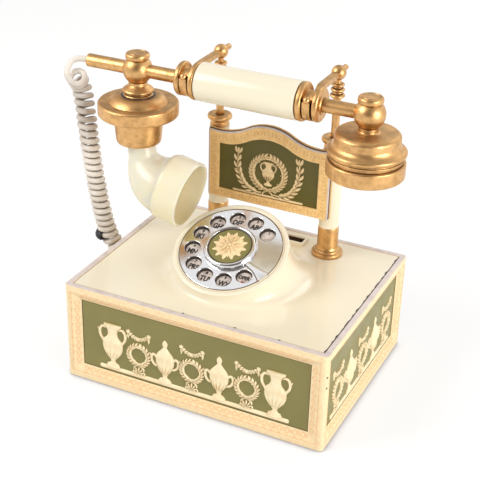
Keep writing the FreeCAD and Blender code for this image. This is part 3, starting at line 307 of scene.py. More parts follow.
def dress(node, material, bevel):
    """A new material and eased edges for a piece that stays as it was packed."""
    sharp = radians(32)
    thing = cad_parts[node]
    mesh = thing.data
    mesh.materials.clear()
    mesh.materials.append(material)
    custom = mesh.attributes.get("custom_normal")
    if custom:
        mesh.attributes.remove(custom)
    weld = thing.modifiers.new("weld", "WELD")
    weld.merge_threshold = 1e-6
    mesh.shade_smooth()
    if bevel:
        ease = thing.modifiers.new("ease", "BEVEL")
        ease.width = bevel * MM
        ease.segments = 2
        ease.limit_method = "ANGLE"
        ease.angle_limit = sharp
    thing.modifiers.new("edges", "EDGE_SPLIT").split_angle = sharp


# Camera

def make_camera():
    azimuth = radians(25.103)
    height = radians(27.766)
    roll = radians(1.594)
    distance = 901.42
    shift_right = 1.441
    shift_up = 90.368
    focal_pixels = 1166.629
    frame_pixels = 480
    back = Vector((sin(azimuth) * cos(height), -cos(azimuth) * cos(height), sin(height)))
    level = Vector((cos(azimuth), sin(azimuth), 0))
    upward = back.cross(level)
    right = level * cos(roll) + upward * sin(roll)
    up = upward * cos(roll) - level * sin(roll)
    place = (back * distance + right * shift_right + up * shift_up) * MM
    data = bpy.data.cameras.new("camera")
    data.sensor_width = 36
    data.lens = data.sensor_width * focal_pixels / frame_pixels
    data.clip_start = 0.01
    data.clip_end = 50
    camera = bpy.data.objects.new("camera", data)
    camera.matrix_world = Matrix.Translation(place) @ Matrix((right, up, back)).transposed().to_4x4()
    bpy.context.scene.collection.objects.link(camera)
    bpy.context.scene.camera = camera


make_camera()

# Materials

def add(tree, kind, **values):
    """A shader node with some of its inputs set."""
    node = tree.nodes.new("ShaderNode" + kind)
    for name, value in values.items():
        node.inputs[name].default_value = value
    return node


def wired(tree, kind, *values):
    """The output, if there is one, of a shader node whose first inputs are these outputs."""
    node = add(tree, kind)
    for value, socket in zip(values, node.inputs):
        tree.links.new(value, socket)
    return node.outputs[0] if node.outputs else None


def combined(tree, operation, first, second):
    """Two values multiplied or compared."""
    output = wired(tree, "Math", first, second)
    output.node.operation = operation
    return output


def noise(tree, scale, detail):
    """A noise pattern in the part's own coordinates, in metres."""
    pattern = add(tree, "TexNoise", Scale=scale, Detail=detail)
    tree.links.new(add(tree, "TexCoord").outputs["Object"], pattern.inputs["Vector"])
    return pattern.outputs["Fac"]


def ramp(tree, value, stops):
    """Colours or grey levels along a value, as (place, colour) stops."""
    node = add(tree, "ValToRGB")
    marks = node.color_ramp.elements
    while len(marks) < len(stops):
        marks.new(0.5)
    for mark, (place, colour) in zip(marks, stops):
        mark.position = place
        mark.color = (*colour, 1) if isinstance(colour, tuple) else (colour, colour, colour, 1)
    tree.links.new(value, node.inputs["Fac"])
    return node.outputs["Color"]


def mixed(tree, value, first, second):
    """Two colours or colour outputs mixed by a value."""
    node = add(tree, "Mix")
    node.data_type = "RGBA"
    tree.links.new(value, node.inputs["Factor"])
    sockets = [entry for entry in node.inputs if entry.type == "RGBA"]
    for socket, colour in zip(sockets, (first, second)):
        if isinstance(colour, tuple):
            socket.default_value = (*colour, 1)
        else:
            tree.links.new(colour, socket)
    return [entry for entry in node.outputs if entry.type == "RGBA"][0]


def height_part(tree, vector):
    """The Z of a vector."""
    return wired(tree, "SeparateXYZ", vector).node.outputs["Z"]


def hollows(tree, reach):
    """1 in the open and less in hollows narrower than a reach in metres."""
    node = add(tree, "AmbientOcclusion", Distance=reach)
    node.samples = 8
    return node.outputs["AO"]


def facing_up(tree):
    """1 on level upper faces, falling to 0 on steep ones."""
    normal = add(tree, "NewGeometry").outputs["Normal"]
    return ramp(tree, height_part(tree, normal), ((0.50, 0.0), (0.95, 1.0)))


def finished(tree, main, colour, gloss, grain, grain_detail, grain_strength):
    """Gives a shader its colour, its gloss and a fine bump."""
    relief = add(tree, "Bump", Strength=grain_strength, Distance=0.0003)
    for value, socket in (
        (noise(tree, grain, grain_detail), relief.inputs["Height"]),
        (relief.outputs["Normal"], main.inputs["Normal"]),
        (colour, main.inputs["Base Color"]),
        (gloss, main.inputs["Roughness"]),
    ):
        tree.links.new(value, socket)


def shader(name):
    """A new material, its node tree and its main shader."""
    material = bpy.data.materials.new(name)
    material.use_nodes = True
    return material, material.node_tree, material.node_tree.nodes["Principled BSDF"]


def painted(name, base, stain, rough, patch_scale, stain_share=0.5, grain=900.0, grain_strength=0.08,
            dirt_and_shade=None, dirt_and_shade_reach=0.002, soil_and_shade=None):
    """Plastic or paint with stains, grain, uneven gloss, and hollows and stretches at set heights darkened
    by grime and painted shade.
    """
    material, tree, main = shader(name)
    stain_from = 0.42
    patches = noise(tree, patch_scale, 4.0)
    colour = ramp(tree, patches, ((stain_from, base), (stain_from + 0.4 / stain_share, stain)))
    # Painted shade: hollows found by ambient occlusion take a darker colour, both grime and the shade that
    # falls there.
    if dirt_and_shade:
        open_share = ramp(tree, hollows(tree, dirt_and_shade_reach), ((0.25, 0.0), (0.85, 1.0)))
        colour = mixed(tree, open_share, dirt_and_shade, colour)
    # Painted shade: stretches of the cord at set heights are darkened, both grime and shade; the pale lead
    # at the top is left out.
    if soil_and_shade:
        height = height_part(tree, add(tree, "TexCoord").outputs["Object"])
        share = ramp(tree, height, (
            (0.06, 0.5), (0.11, 0.3), (0.135, 0.0), (0.165, 0.8), (0.196, 0.8), (0.208, 0.0)))
        colour = mixed(tree, combined(tree, "MULTIPLY", share, noise(tree, 150.0, 4.0)), colour, soil_and_shade)
    gloss = ramp(tree, noise(tree, patch_scale * 3, 2.0), ((0.3, rough * 0.8), (0.7, rough * 1.25)))
    finished(tree, main, colour, gloss, grain, 2.0, grain_strength)
    return material


def metal(name, base, stain, rough, patch_scale=45.0, stain_from=0.52, stain_to=0.72, dust_and_shade=None, dirt_and_shade=None):
    """Metal with patches of tarnish, fine scratches, and dull upper faces and hollows darkened by grime and
    painted shade.
    """
    material, tree, main = shader(name)
    main.inputs["Metallic"].default_value = 1.0
    colour = ramp(tree, noise(tree, patch_scale, 6.0), ((stain_from, base), (stain_to, stain)))
    gloss = ramp(tree, noise(tree, patch_scale * 2, 4.0), ((0.3, rough * 0.8), (0.72, rough * 1.35)))
    # Painted shade: upper faces are darkened, both dusty grime and shade on them.
    if dust_and_shade:
        uneven = ramp(tree, noise(tree, 120.0, 4.0), ((0.30, 0.55), (0.62, 1.0)))
        dull = 0.55
        colour = mixed(tree, combined(tree, "MULTIPLY", facing_up(tree), uneven), colour, dust_and_shade)
        gloss = mixed(tree, facing_up(tree), gloss, (dull, dull, dull))
    # Painted shade: hollows found by ambient occlusion take a darker colour, both grime and the shade that
    # falls there.
    if dirt_and_shade:
        open_share = ramp(tree, hollows(tree, 0.0025), ((0.30, 0.0), (0.75, 1.0)))
        colour = mixed(tree, open_share, dirt_and_shade, colour)
    finished(tree, main, colour, gloss, 1500.0, 3.0, 0.10)
    return material


ivory = painted("ivory_plastic", (0.90, 0.82, 0.635), (0.86, 0.765, 0.555), 0.20, 9.0)
cover_ivory = painted("cover_plastic", (0.90, 0.82, 0.635), (0.86, 0.765, 0.555), 0.12, 9.0)
horn_ivory = painted("horn_plastic", (0.92, 0.83, 0.64), (0.85, 0.73, 0.50), 0.20, 25.0, 0.6)
horn_shader = horn_ivory.node_tree.nodes["Principled BSDF"]
horn_shader.inputs["Subsurface Weight"].default_value = 0.65
horn_shader.inputs["Subsurface Radius"].default_value = (1.0, 0.75, 0.42)
horn_shader.inputs["Subsurface Scale"].default_value = 0.010
# Hollow colours given below darken hollows as grime and painted shade; brass's colour for upper faces
# darkens them as dusty grime and painted shade.
peach = painted("frame_paint", (0.97, 0.78, 0.48), (0.92, 0.60, 0.30), 0.34, 420.0, 0.7, 1400.0, 0.15,
                dirt_and_shade=(0.78, 0.42, 0.18), dirt_and_shade_reach=0.0008)
peach_rings = painted("frame_rings", (0.93, 0.60, 0.31), (0.85, 0.46, 0.20), 0.40, 300.0, 0.9, 1400.0, 0.15)
# A dark olive laid as painted shade round the windows.
shade_olive = painted("panel_edge_shade", (0.10, 0.075, 0.02), (0.16, 0.12, 0.035), 0.5, 200.0)
gilt_marks = painted("backplate_marks", (0.82, 0.52, 0.20), (0.62, 0.35, 0.12), 0.4, 300.0, 0.9)
# A brown laid as painted shade in the gap round the dial wheel and under the finger stop.
thin_shade_brown = painted("thin_shade_ring", (0.20, 0.115, 0.05), (0.12, 0.07, 0.035), 0.4, 200.0)
gilt = painted("backplate_paint", (0.96, 0.66, 0.29), (0.76, 0.46, 0.17), 0.36, 260.0, 0.9, 900.0, 0.3,
               dirt_and_shade=(0.62, 0.33, 0.10), dirt_and_shade_reach=0.0008)
# A near-black brown laid as painted shade: under the finger holes, in the cup's recess, at the hub's rim and
# round the cover's edge.
shade_brown = painted("dial_shade_cups", (0.035, 0.024, 0.017), (0.10, 0.07, 0.05), 0.45, 220.0, 0.8)
olive = painted("olive_panel", (0.245, 0.215, 0.062), (0.20, 0.175, 0.05), 0.36, 30.0, 0.7, 1600.0)
olive_dark = painted("olive_backplate", (0.118, 0.10, 0.015), (0.085, 0.072, 0.01), 0.42, 30.0, 0.7, 1600.0)
cameo = painted("relief_cream", (0.98, 0.85, 0.57), (0.93, 0.68, 0.36), 0.5, 200.0, 0.8, 2200.0, 0.2,
                dirt_and_shade=(0.42, 0.27, 0.11), dirt_and_shade_reach=0.0013)
cameo_tan = painted("relief_tan", (0.88, 0.68, 0.38), (0.70, 0.49, 0.23), 0.5, 200.0, 0.9, 2200.0, 0.2,
                    dirt_and_shade=(0.20, 0.13, 0.045), dirt_and_shade_reach=0.0018)
cameo_warm = painted("relief_warm", (0.97, 0.77, 0.45), (0.84, 0.54, 0.27), 0.5, 260.0, 0.9, 2200.0, 0.2,
                     dirt_and_shade=(0.38, 0.22, 0.08), dirt_and_shade_reach=0.0013)
rim_metal = painted("rim_strip", (0.74, 0.64, 0.60), (0.55, 0.47, 0.45), 0.35, 160.0, 0.9, 1800.0, 0.1)
brass = metal("brass", (0.78, 0.46, 0.19), (0.56, 0.32, 0.125), 0.35, 210.0, 0.42, 0.72,
              dust_and_shade=(0.37, 0.225, 0.095), dirt_and_shade=(0.17, 0.085, 0.03))
brass_dark = metal("brass_tarnished", (0.52, 0.33, 0.13), (0.30, 0.18, 0.07), 0.38)
chrome = metal("chrome", (0.80, 0.80, 0.81), (0.62, 0.60, 0.58), 0.09, 60.0, 0.56, 0.8)
steel = metal("steel", (0.52, 0.52, 0.53), (0.38, 0.37, 0.36), 0.32)
copper = metal("copper_wire", (0.70, 0.34, 0.19), (0.48, 0.22, 0.12), 0.35, 300.0)
plate_grey = painted("number_plate", (0.86, 0.75, 0.67), (0.40, 0.30, 0.235), 0.42, 300.0, 1.2)
black = painted("black_rubber", (0.007, 0.007, 0.008), (0.016, 0.015, 0.015), 0.5, 300.0)
ink = painted("black_ink", (0.012, 0.011, 0.011), (0.03, 0.026, 0.024), 0.5, 300.0)
red_ink = painted("red_ink", (0.45, 0.045, 0.03), (0.32, 0.04, 0.03), 0.5, 300.0)
felt = painted("felt", (0.035, 0.05, 0.03), (0.05, 0.065, 0.04), 0.95, 500.0, 0.8, 2500.0, 0.6)
# A dark brown for chips and small inner parts, also laid as painted shade in the carrying slot and as a
# painted shadow line on the backplate's edge.
brown = painted("dark_brown_and_shade", (0.09, 0.05, 0.03), (0.13, 0.075, 0.045), 0.4, 200.0)
cord_white = painted("cord_plastic", (0.88, 0.82, 0.745), (0.74, 0.65, 0.55), 0.55, 90.0, 1.0, 2600.0, 0.25,
                     dirt_and_shade=(0.54, 0.45, 0.36), dirt_and_shade_reach=0.003, soil_and_shade=(0.26, 0.20, 0.15))

# Handset cord

cord_radius = 2.25


def nurbs_line(points):
    """A smooth line with these control points, in millimetres."""
    data = bpy.data.curves.new("cord_route", "CURVE")
    data.dimensions = "3D"
    data.resolution_u = 60
    spline = data.splines.new("NURBS")
    spline.points.add(len(points) - 1)
    for target, point in zip(spline.points, points):
        target.co = (*(Vector(point) * MM), 1)
    spline.order_u = 3
    spline.use_endpoint_u = True
    return [corner / MM for corner in baked(data)[0]]


def even_line(line, count):
    """Points at even distances along a line, and the line's length."""
    marks = [0.0]
    for before, after in zip(line, line[1:]):
        marks.append(marks[-1] + (after - before).length)
    points = []
    index = 0
    for step in range(count):
        wanted = marks[-1] * step / (count - 1)
        while index < len(marks) - 2 and marks[index + 1] < wanted:
            index += 1
        share = (wanted - marks[index]) / max(marks[index + 1] - marks[index], 1e-9)
        points.append(line[index].lerp(line[index + 1], min(max(share, 0), 1)))
    return points, marks[-1]


def eased_step(value):
    """0 below 0, 1 above 1 and a smooth rise between."""
    value = min(max(value, 0.0), 1.0)
    return value * value * (3 - 2 * value)


def make_coil():
    """The coiled run of the cord, wound round a smooth line down to the case."""
    line, total = even_line(nurbs_line((
        (-138.6, handset_y - 5.5, 203.2),
        (-141.0, handset_y - 1.0, 199.6),
        (-140.0, handset_y + 2.5, 193.0),
        (-138.0, handset_y + 2.0, 185.0),
        (-134.6, handset_y, 167.5),
        (-132.2, handset_y, 143.7),
        (-128.8, handset_y, 119.5),
        (-124.1, handset_y, 94.8),
        (-120.2, handset_y + 1.5, 76.0),
        (-114.8, handset_y + 3.0, 65.6),
        (-108.4, handset_y + 4.0, 61.0),
    )), 4000)
    step = total / (len(line) - 1)
    top_pitch, low_pitch, bend_pitch = 6.2, 5.15, 5.6
    top_radius, low_radius = 5.6, 5.2
    top_share = 0.6
    bend_from, bend_share = 0.82, 0.1
    end_turn = 10 / 24

    def pitch(share):
        run = top_pitch + (low_pitch - top_pitch) * eased_step(share / top_share)
        uneven = 1 + 0.04 * sin(37 * share) + 0.03 * sin(91 * share + 1)
        return (run + (bend_pitch - run) * eased_step((share - bend_from) / bend_share)) * uneven

    wound = sum(step / pitch(index / len(line)) for index in range(len(line)))
    winding = (int(wound) + end_turn) / wound
    across = Vector((0.9, 0.2, 0.4))
    turn = radians(200)
    path = []
    for index, point in enumerate(line):
        share = index / len(line)
        ahead = heading(line, index)
        across = (across - ahead * across.dot(ahead)).normalized()
        other = across.cross(ahead)
        radius = top_radius + (low_radius - top_radius) * eased_step(share / top_share)
        radius *= 1 + 0.025 * sin(53 * share)
        path.append(point + (across * cos(turn) + other * sin(turn)) * radius)
        turn += 2 * pi * winding * step / pitch(share)
    return path


def make_cord():
    coil = make_coil()
    end_steps = 12
    enter = (coil[end_steps] - coil[0]).normalized()
    leave = (coil[-1] - coil[-1 - end_steps]).normalized()
    least_step = 1.2
    lead = nurbs_line((
        (-130.0, handset_y, handset_z),
        (-138.0, handset_y, 216.0),
        (-146.0, handset_y - 2.0, 212.6),
        coil[0] - enter * 5.0,
        coil[0],
    ))
    grommet = Vector((-100.5, 16.4, 60.0))
    tail = nurbs_line((
        coil[-1],
        coil[-1] + leave * 2.5,
        grommet + Vector((-5.0, 0, 1.5)),
        grommet - Vector((2.0, 0, 0)),
        grommet,
    ))
    path = [lead[0]]
    for point in lead[1:] + coil + tail:
        if (point - path[-1]).length > least_step:
            path.append(point)
    path[-1] = tail[-1]
    length = sum((after - before).length for before, after in zip(path, path[1:]))
    cord = piece("handset_cord", tube(path, cord_radius, 12), cord_white,
                 stands_for=("cord_lead", "cord_coil", "cord_tail"), sharp=80)
    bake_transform(cord)
    return cord, path, length


cord, cord_path, cord_length = make_cord()


def make_cord_sleeve():
    """The short black sleeve on one turn near the cord's lower end."""
    place = Vector((-126.0, 6.5, 72.5))
    outward = Vector((-0.9, -0.42, -0.3)) * 1.6
    end_radius = cord_radius + 0.9
    radius = cord_radius + 1.5
    reach = 5
    middle = min(range(len(cord_path)), key=lambda index: (cord_path[index] - place).length)
    part = [point + outward for point in cord_path[middle - reach: middle + reach]]
    radii = [end_radius] + [radius] * (len(part) - 2) + [end_radius]
    sleeve = piece("cord_sleeve_black", tube(part, radii, 16), black, stands_for=("cord_sleeve",))
    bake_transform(sleeve)
    return sleeve


cord_sleeve = make_cord_sleeve()

# Floor, world and lamps

def make_floor():
    size = 6.0
    mesh = bpy.data.meshes.new("floor")
    corners = [(-size, -size, 0), (size, -size, 0), (size, size, 0), (-size, size, 0)]
    mesh.from_pydata(corners, [], [(0, 1, 2, 3)])
    floor = bpy.data.objects.new("floor", mesh)
    bpy.context.scene.collection.objects.link(floor)
    material = bpy.data.materials.new("floor_white")
    material.use_nodes = True
    tree = material.node_tree
    tree.nodes.clear()
    rays = add(tree, "LightPath").outputs
    seen = combined(tree, "MAXIMUM", rays["Is Camera Ray"], rays["Is Glossy Ray"])
    plain = add(tree, "BsdfDiffuse", Color=(0.80, 0.79, 0.78, 1)).outputs[0]
    shaded = add(tree, "BsdfDiffuse", Color=(0.36, 0.36, 0.36, 1)).outputs[0]
    glow = add(tree, "Emission", Strength=0.67)
    # Painted shadow: the floor's glow is darkened by ambient occlusion near the telephone, where its shadow
    # meets the floor.
    painted_contact_shadow = ramp(tree, hollows(tree, 0.016), (
        (0.50, (0.36, 0.35, 0.38)), (0.60, (0.74, 0.73, 0.76)), (0.70, (0.90, 0.90, 0.92)), (0.80, 1.0)))
    tree.links.new(painted_contact_shadow, glow.inputs["Color"])
    bright = wired(tree, "AddShader", shaded, glow.outputs[0])
    wired(tree, "OutputMaterial", wired(tree, "MixShader", seen, plain, bright))
    mesh.materials.append(material)


def make_world():
    """An even light, a white background, and a darker front side for what metal reflects."""
    world = bpy.data.worlds.new("studio")
    bpy.context.scene.world = world
    world.use_nodes = True
    tree = world.node_tree
    tree.nodes.clear()
    rays = add(tree, "LightPath").outputs
    seen = combined(tree, "MAXIMUM", rays["Is Camera Ray"], rays["Is Transmission Ray"])
    light = add(tree, "Background", Color=(1.0, 0.985, 0.965, 1), Strength=0.50).outputs[0]
    white = add(tree, "Background", Color=(1, 1, 1, 1), Strength=1.0).outputs[0]
    facing = add(tree, "VectorMath")
    facing.operation = "DOT_PRODUCT"
    facing.inputs[1].default_value = Vector((0.30, -0.80, 0.50)).normalized()
    tree.links.new(add(tree, "TexCoord").outputs["Generated"], facing.inputs[0])
    room = wired(tree, "Background", ramp(tree, facing.outputs["Value"], (
        (0.38, 1.0), (0.66, (0.62, 0.59, 0.56)), (0.82, (0.30, 0.27, 0.25)), (0.96, (0.20, 0.18, 0.16)))))
    reflected = wired(tree, "MixShader", rays["Is Glossy Ray"], light, room)
    wired(tree, "OutputWorld", wired(tree, "MixShader", seen, reflected, white))


def make_lamps():
    for name, place, aim, size, power in (
        ("key", (-0.85, -0.7, 1.0), (0, 0, 0.1), 0.8, 10.4),
        ("fill", (1.6, -0.5, 0.5), (0, 0, 0.1), 1.0, 18.4),
        ("back", (0.3, 1.5, 1.4), (0, 0, 0.12), 1.2, 9.0),
    ):
        data = bpy.data.lights.new(name, "AREA")
        data.shape = "DISK"
        data.size = size
        data.energy = power
        lamp = bpy.data.objects.new(name, data)
        lamp.location = place
        lamp.rotation_mode = "QUATERNION"
        lamp.rotation_quaternion = (Vector(place) - Vector(aim)).to_track_quat("Z", "Y")
        bpy.context.scene.collection.objects.link(lamp)
    bpy.context.scene.view_settings.view_transform = "Standard"


make_floor()
make_world()
make_lamps()

# Handset

def ball_points(radius, low, high):
    """Half outline of a ball between two flats, from the low one up."""
    steps = 20
    first = asin(low / radius)
    last = asin(high / radius)
    angles = [first + (last - first) * step / steps for step in range(steps + 1)]
    return [(radius * cos(angle), radius * sin(angle), 0) for angle in angles]


def make_handset():
    along = (1, 0, 0)
    middle = Vector((0, handset_y, handset_z))
    ball_places = [(x, handset_y, handset_z) for x in (mouth_x, ear_x)]
    handle = ((4.95, -38.0), (13.9, -38.0, 0.7), (13.9, 38.0, 0.7), (4.95, 38.0))
    turned("handle", handle, ivory, "handset", "handle_sleeve", [middle], 0.3, True, 128,
           along)
    rod = ((3.2, -131.0, 0.2), (4.9, -131.0, 0.9), (4.9, 88.0), (0.5, 88.0), (0.5, -127.0), (3.2, -127.0))
    turned("handset_rod", rod, brass, "handset", "handset_tube", [middle], 0.2, True, 64, along)
    collar = (
        (4.95, 38.0), (12.4, 38.0, 0.3), (12.4, 38.6, 0.1), (13.8, 39.4, 1.0), (13.8, 42.0, 1.0),
        (12.6, 42.9, 0.5), (8.6, 43.6, 0.5), (8.6, 49.6, 0.5), (11.6, 50.4, 0.5), (12.3, 51.2, 0.9),
        (12.3, 53.4, 0.9), (11.3, 54.5, 0.4), (7.2, 54.6, 0.4), (6.4, 55.4, 0.4), (4.95, 55.4),
    )
    collars = joined([placed(lathe(collar, 0.3, True), middle, (side, 0, 0)) for side in (-1, 1)])
    piece("handset_rings", collars, brass, "handset", ("handset_collars",))
    screw = ((0, 0.8), (0.7, 0.7, 0.2), (1.25, 0.2, 0.2), (1.25, -0.6), (0, -0.6))
    axis = Vector((0, -0.93, 0.37))
    screw_places = [middle + Vector((x, 0, 0)) + axis * 8.7 for x in (-47.4, 44.4)]
    turned("collar_screws", screw, chrome, "handset", None, screw_places, 0.1, False, 20,
           axis)
    ball = [(0, -9.0)] + ball_points(11.0, -9.0, 8.0) + [(0, 8.0)]
    for name, place in zip(("left_ball", "right_ball"), ball_places):
        turned(name + "_turned", ball, brass, "handset", name, [place])
    cap = (
        (0, 8.0), (8.0, 8.0, 0.2), (8.8, 8.9, 0.6), (8.8, 11.4, 0.9), (7.9, 12.5, 0.6), (6.7, 12.5, 0.1),
        (6.5, 12.1, 0.1), (6.2, 12.1, 0.1), (6.0, 12.5, 0.1), (0, 12.5),
    )
    turned("ball_tops", cap, brass, "handset", "ball_caps", ball_places, 0.2)


def make_transmitter():
    place = (mouth_x, handset_y, 0)
    cup = (
        (0, 206.5), (6.9, 206.5), (6.9, 204.4, 0.6), (8.0, 203.3, 0.8), (11.0, 201.2, 0.8),
        (11.6, 200.3, 0.4), (11.4, 199.5, 0.3), (9.6, 198.9, 0.3), (9.5, 198.1, 0.3), (10.6, 197.6, 0.5),
        (11.2, 196.7, 0.6), (11.8, 196.0, 0.4), (13.2, 196.6, 0.8), (15.6, 196.5, 1.2), (18.2, 195.2, 1.2),
        (20.2, 193.2, 1.0), (21.2, 191.7, 0.5), (21.8, 191.0, 0.2), (22.5, 191.5, 0.3), (28.6, 191.5, 0.5),
        (29.8, 190.4, 0.7), (29.8, 182.2, 0.7), (28.6, 181.0, 0.5), (18.6, 181.0, 0.4), (16.9, 162.0, 0.6),
        (16.1, cup_low, 0.5), (12.6, cup_low, 0.3), (12.6, 188.0), (0, 188.0),
    )
    turned("mouth_cup", cup, brass, "handset", "transmitter_cup", [place], segments=128)
    # Painted shade: a dark ring in the recess round the cup's neck.
    recess = ((10.9, 196.0), (12.7, 196.2, 0.1), (12.5, 196.75, 0.1), (11.1, 197.0, 0.1))
    turned("cup_recess", recess, shade_brown, "handset", None, [place], 0.1, True)


def smooth_radius(radii, share):
    """A radius on a smooth line through evenly spaced ones, at a share of its length."""
    last = len(radii) - 2
    spot = share * (len(radii) - 1)
    low = min(int(spot), last)
    part = spot - low
    a, b = radii[low], radii[low + 1]
    rise_a = (b - radii[low - 1]) / 2 if low else b - a
    rise_b = (radii[low + 2] - a) / 2 if low < last else b - a
    square, cube = part * part, part ** 3
    level = (2 * cube - 3 * square + 1) * a + (3 * square - 2 * cube) * b
    return level + (cube - 2 * square + part) * rise_a + (cube - square) * rise_b


def horn_rings(inset):
    """Rings of the horn from its stem down and round to the bell, as (centre, lean, radius)."""
    steps = 26
    radii = (11.0, 15.0, 18.9, 21.7, 23.5)
    stem_radius, neck_radius = 10.2, 10.5
    stem = Vector((mouth_x + 1.4, handset_y, cup_low))
    hub = horn_end + Vector((cos(horn_end_lean), 0, sin(horn_end_lean))) * horn_bend
    bend = []
    for step in range(steps + 1):
        lean = horn_stem_lean + (horn_end_lean - horn_stem_lean) * step / steps
        centre = hub - Vector((cos(lean), 0, sin(lean))) * horn_bend
        bend.append((centre, lean, smooth_radius(radii, step / steps) - inset))
    neck = stem.lerp(bend[0][0], 0.5)
    return [(stem, 0.0, stem_radius - inset), (neck, horn_stem_lean / 2, neck_radius - inset)] + bend


def make_horn():
    segments = 96
    rows = []
    for centre, lean, radius in horn_rings(0.0) + horn_rings(horn_wall)[::-1]:
        side = Vector((cos(lean), 0, sin(lean)))
        rows.append(ring(centre, side * radius, Vector((0, radius, 0)), segments))
    piece("mouth_horn", skin(rows, True), horn_ivory, "handset", ("horn",), 50)
    axis = (sin(horn_end_lean), 0, -cos(horn_end_lean))
    bell = (
        (21.3, 0.0), (24.2, 0.0, 0.2), (24.2, 1.6, 0.2), (24.9, 2.0, 0.4), (25.4, 3.4, 0.8),
        (25.4, 20.2, 0.7), (24.6, 21.5, 0.5), (23.4, 21.5, 0.4), (22.8, 19.6, 1.0), (21.6, 8.0, 1.0),
    )
    turned("mouth_bell", bell, horn_ivory, "handset", "horn_bell", [horn_end], 0.3, True,
           128, axis, 50)


def make_receiver():
    place = (ear_x, handset_y, 0)
    shell = (
        (0, 206.5), (7.0, 206.5), (7.0, 203.8, 0.5), (8.2, 203.0, 0.4), (20.6, 203.0, 0.6),
        (22.8, 201.2, 1.4), (22.8, 196.0, 0.6), (23.2, 194.4, 0.6), (24.4, 192.6, 1.0), (26.4, 191.4, 0.8),
        (27.5, 190.4, 0.7), (27.5, 188.6, 0.6), (26.6, 187.8, 0.3), (25.4, 187.4, 0.2), (25.4, 186.6, 0.2),
        (26.2, 186.2, 0.2), (26.2, 185.4, 0.2), (25.2, 185.0, 0.2), (25.2, 183.0), (20.0, 183.0),
        (20.0, 199.0), (0, 199.0),
    )
    turned("ear_shell", shell, brass, "handset", "receiver_shell", [place], segments=128)
    cap_middle, cap_reach, cap_rise = 174.5, 12.0, 1.45
    cap = (
        (0, 183.0), (26.4, 183.0, 0.3), (27.3, 182.2, 0.5), (27.3, 172.6, 0.8), (26.2, 171.5, 0.6),
        (19.4, 171.5, 0.8), (cap_reach, 173.1, 1.0), (0, cap_middle),
    )
    turned("ear_cap_turned", cap, brass, "handset", "ear_cap", [place], segments=128)
    rim = ((0, 0.25), (1.5, 0.25, 0.1), (1.7, 0.0, 0.1), (1.7, -0.3, 0.1), (0, -0.1))
    hole_reach = 8.0
    ring_level = cap_middle - cap_rise * hole_reach / cap_reach
    ring_middle = Vector((ear_x, handset_y, ring_level))
    holes = ring(ring_middle, Vector((hole_reach, 0, 0)), Vector((0, hole_reach, 0)), 6)
    holes.append((ear_x, handset_y, cap_middle))
    turned("ear_holes", rim, black, "handset", None, holes, 0.1, False, 20)


make_handset()
make_transmitter()
make_horn()
make_receiver()

# Posts and plungers

post_places = {"left": (-post_x, post_y, 0), "right": (post_x, post_y, 0)}


def make_posts():
    foot = (
        (5.5, 77.5), (11.9, 77.5, 0.2), (11.9, 79.8, 0.8), (11.2, 80.6, 0.4), (10.0, 80.9, 0.2),
        (10.0, 81.8, 0.5), (9.3, 82.5, 0.3), (8.5, 82.8, 0.2), (8.2, 83.6, 0.3), (7.9, 84.2, 0.2),
        (7.9, 100.6, 0.3), (7.6, 101.2, 0.2), (5.5, 101.2),
    )
    column = ((5.5, 101.2), (7.6, 101.2, 0.2), (7.6, 164.5, 0.3), (5.5, 164.5))
    cap = (
        (2.95, 164.5), (7.3, 164.5, 0.3), (7.3, 166.4, 0.4), (6.6, 167.2, 0.5), (6.6, 168.4, 0.5),
        (7.4, 169.4, 0.4), (8.6, 169.5, 0.3), (9.4, 170.5, 0.7), (9.4, 172.4, 0.8), (8.4, 173.5, 0.6),
        (5.2, 173.5, 0.3), (4.6, 173.0, 0.3), (2.95, 173.0),
    )
    for name, place in post_places.items():
        turned(name + "_foot", foot, brass, "base", name + "_post_foot", [place], 0.3, True)
    places = list(post_places.values())
    turned("columns", column, ivory, "base", "post_tubes", places, 0.2, True)
    turned("column_caps", cap, brass, "base", "post_caps", places, 0.3, True)


def make_plungers():
    level = arm_z - 18.3
    rod = [(0, 31.0), (2.9, 31.0), (2.9, level - 0.6, 0.3), (4.6, level, 0.4)]
    for radius, high in ((5.6, 2.6), (4.0, 2.0), (5.2, 2.4), (3.6, 1.6), (4.8, 1.9)):
        waist = radius - 0.35 * high
        rod += [(waist, level + 0.05, 0.3), (radius, level + high * 0.32, 0.6),
                (radius, level + high * 0.68, 0.6), (waist, level + high - 0.05, 0.3)]
        level += high
    ball = [(across, arm_z + up, 0) for across, up, _ in ball_points(5.4, -4.93, 5.39)]
    rod += [(2.2, level + 0.2, 0.3), (2.2, arm_z - 5.2, 0.2)] + ball + [(0, arm_z + 5.4)]
    for name, place in post_places.items():
        turned(name + "_rod", rod, brass, "cradle", name + "_plunger", [place], 0.25, False, 64)


make_posts()
make_plungers()

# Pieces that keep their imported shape, with the width of their eased edges

for material, bevel, names in (
    (brass, 0.5, ("left_hook", "right_hook")),
    (olive, 0.0, ("front_panel", "left_panel", "right_panel", "rear_panel")),
    (peach, 0.5, ("case_frame",)),
    (steel, 0.2, ("base_plate",)),
    (felt, 0.4, ("base_felt",)),
    (black, 0.3, ("cord_grommet", "line_inlet")),
    (plate_grey, 0.0, ("number_plate",)),
    (chrome, 0.2, ("finger_stop",)),
    (steel, 0.0, ("base_screws", "dial_frame", "dial_shaft", "governor", "hook_switch", "plunger_yoke",
                  "cradle_springs", "ringer_bracket", "clapper", "transmitter_capsule",
                  "receiver_capsule")),
    (brass_dark, 0.0, ("main_gear", "dial_spring", "gongs", "backplate_clips")),
    (brown, 0.0, ("pulse_contacts", "network_block")),
    (copper, 0.0, ("ringer_coils",)),
    (gilt, 0.4, ("backplate",)),
    (olive_dark, 0.0, ("backplate_panel",)),
):
    for name in names:
        dress(name, material, bevel)

# Dial

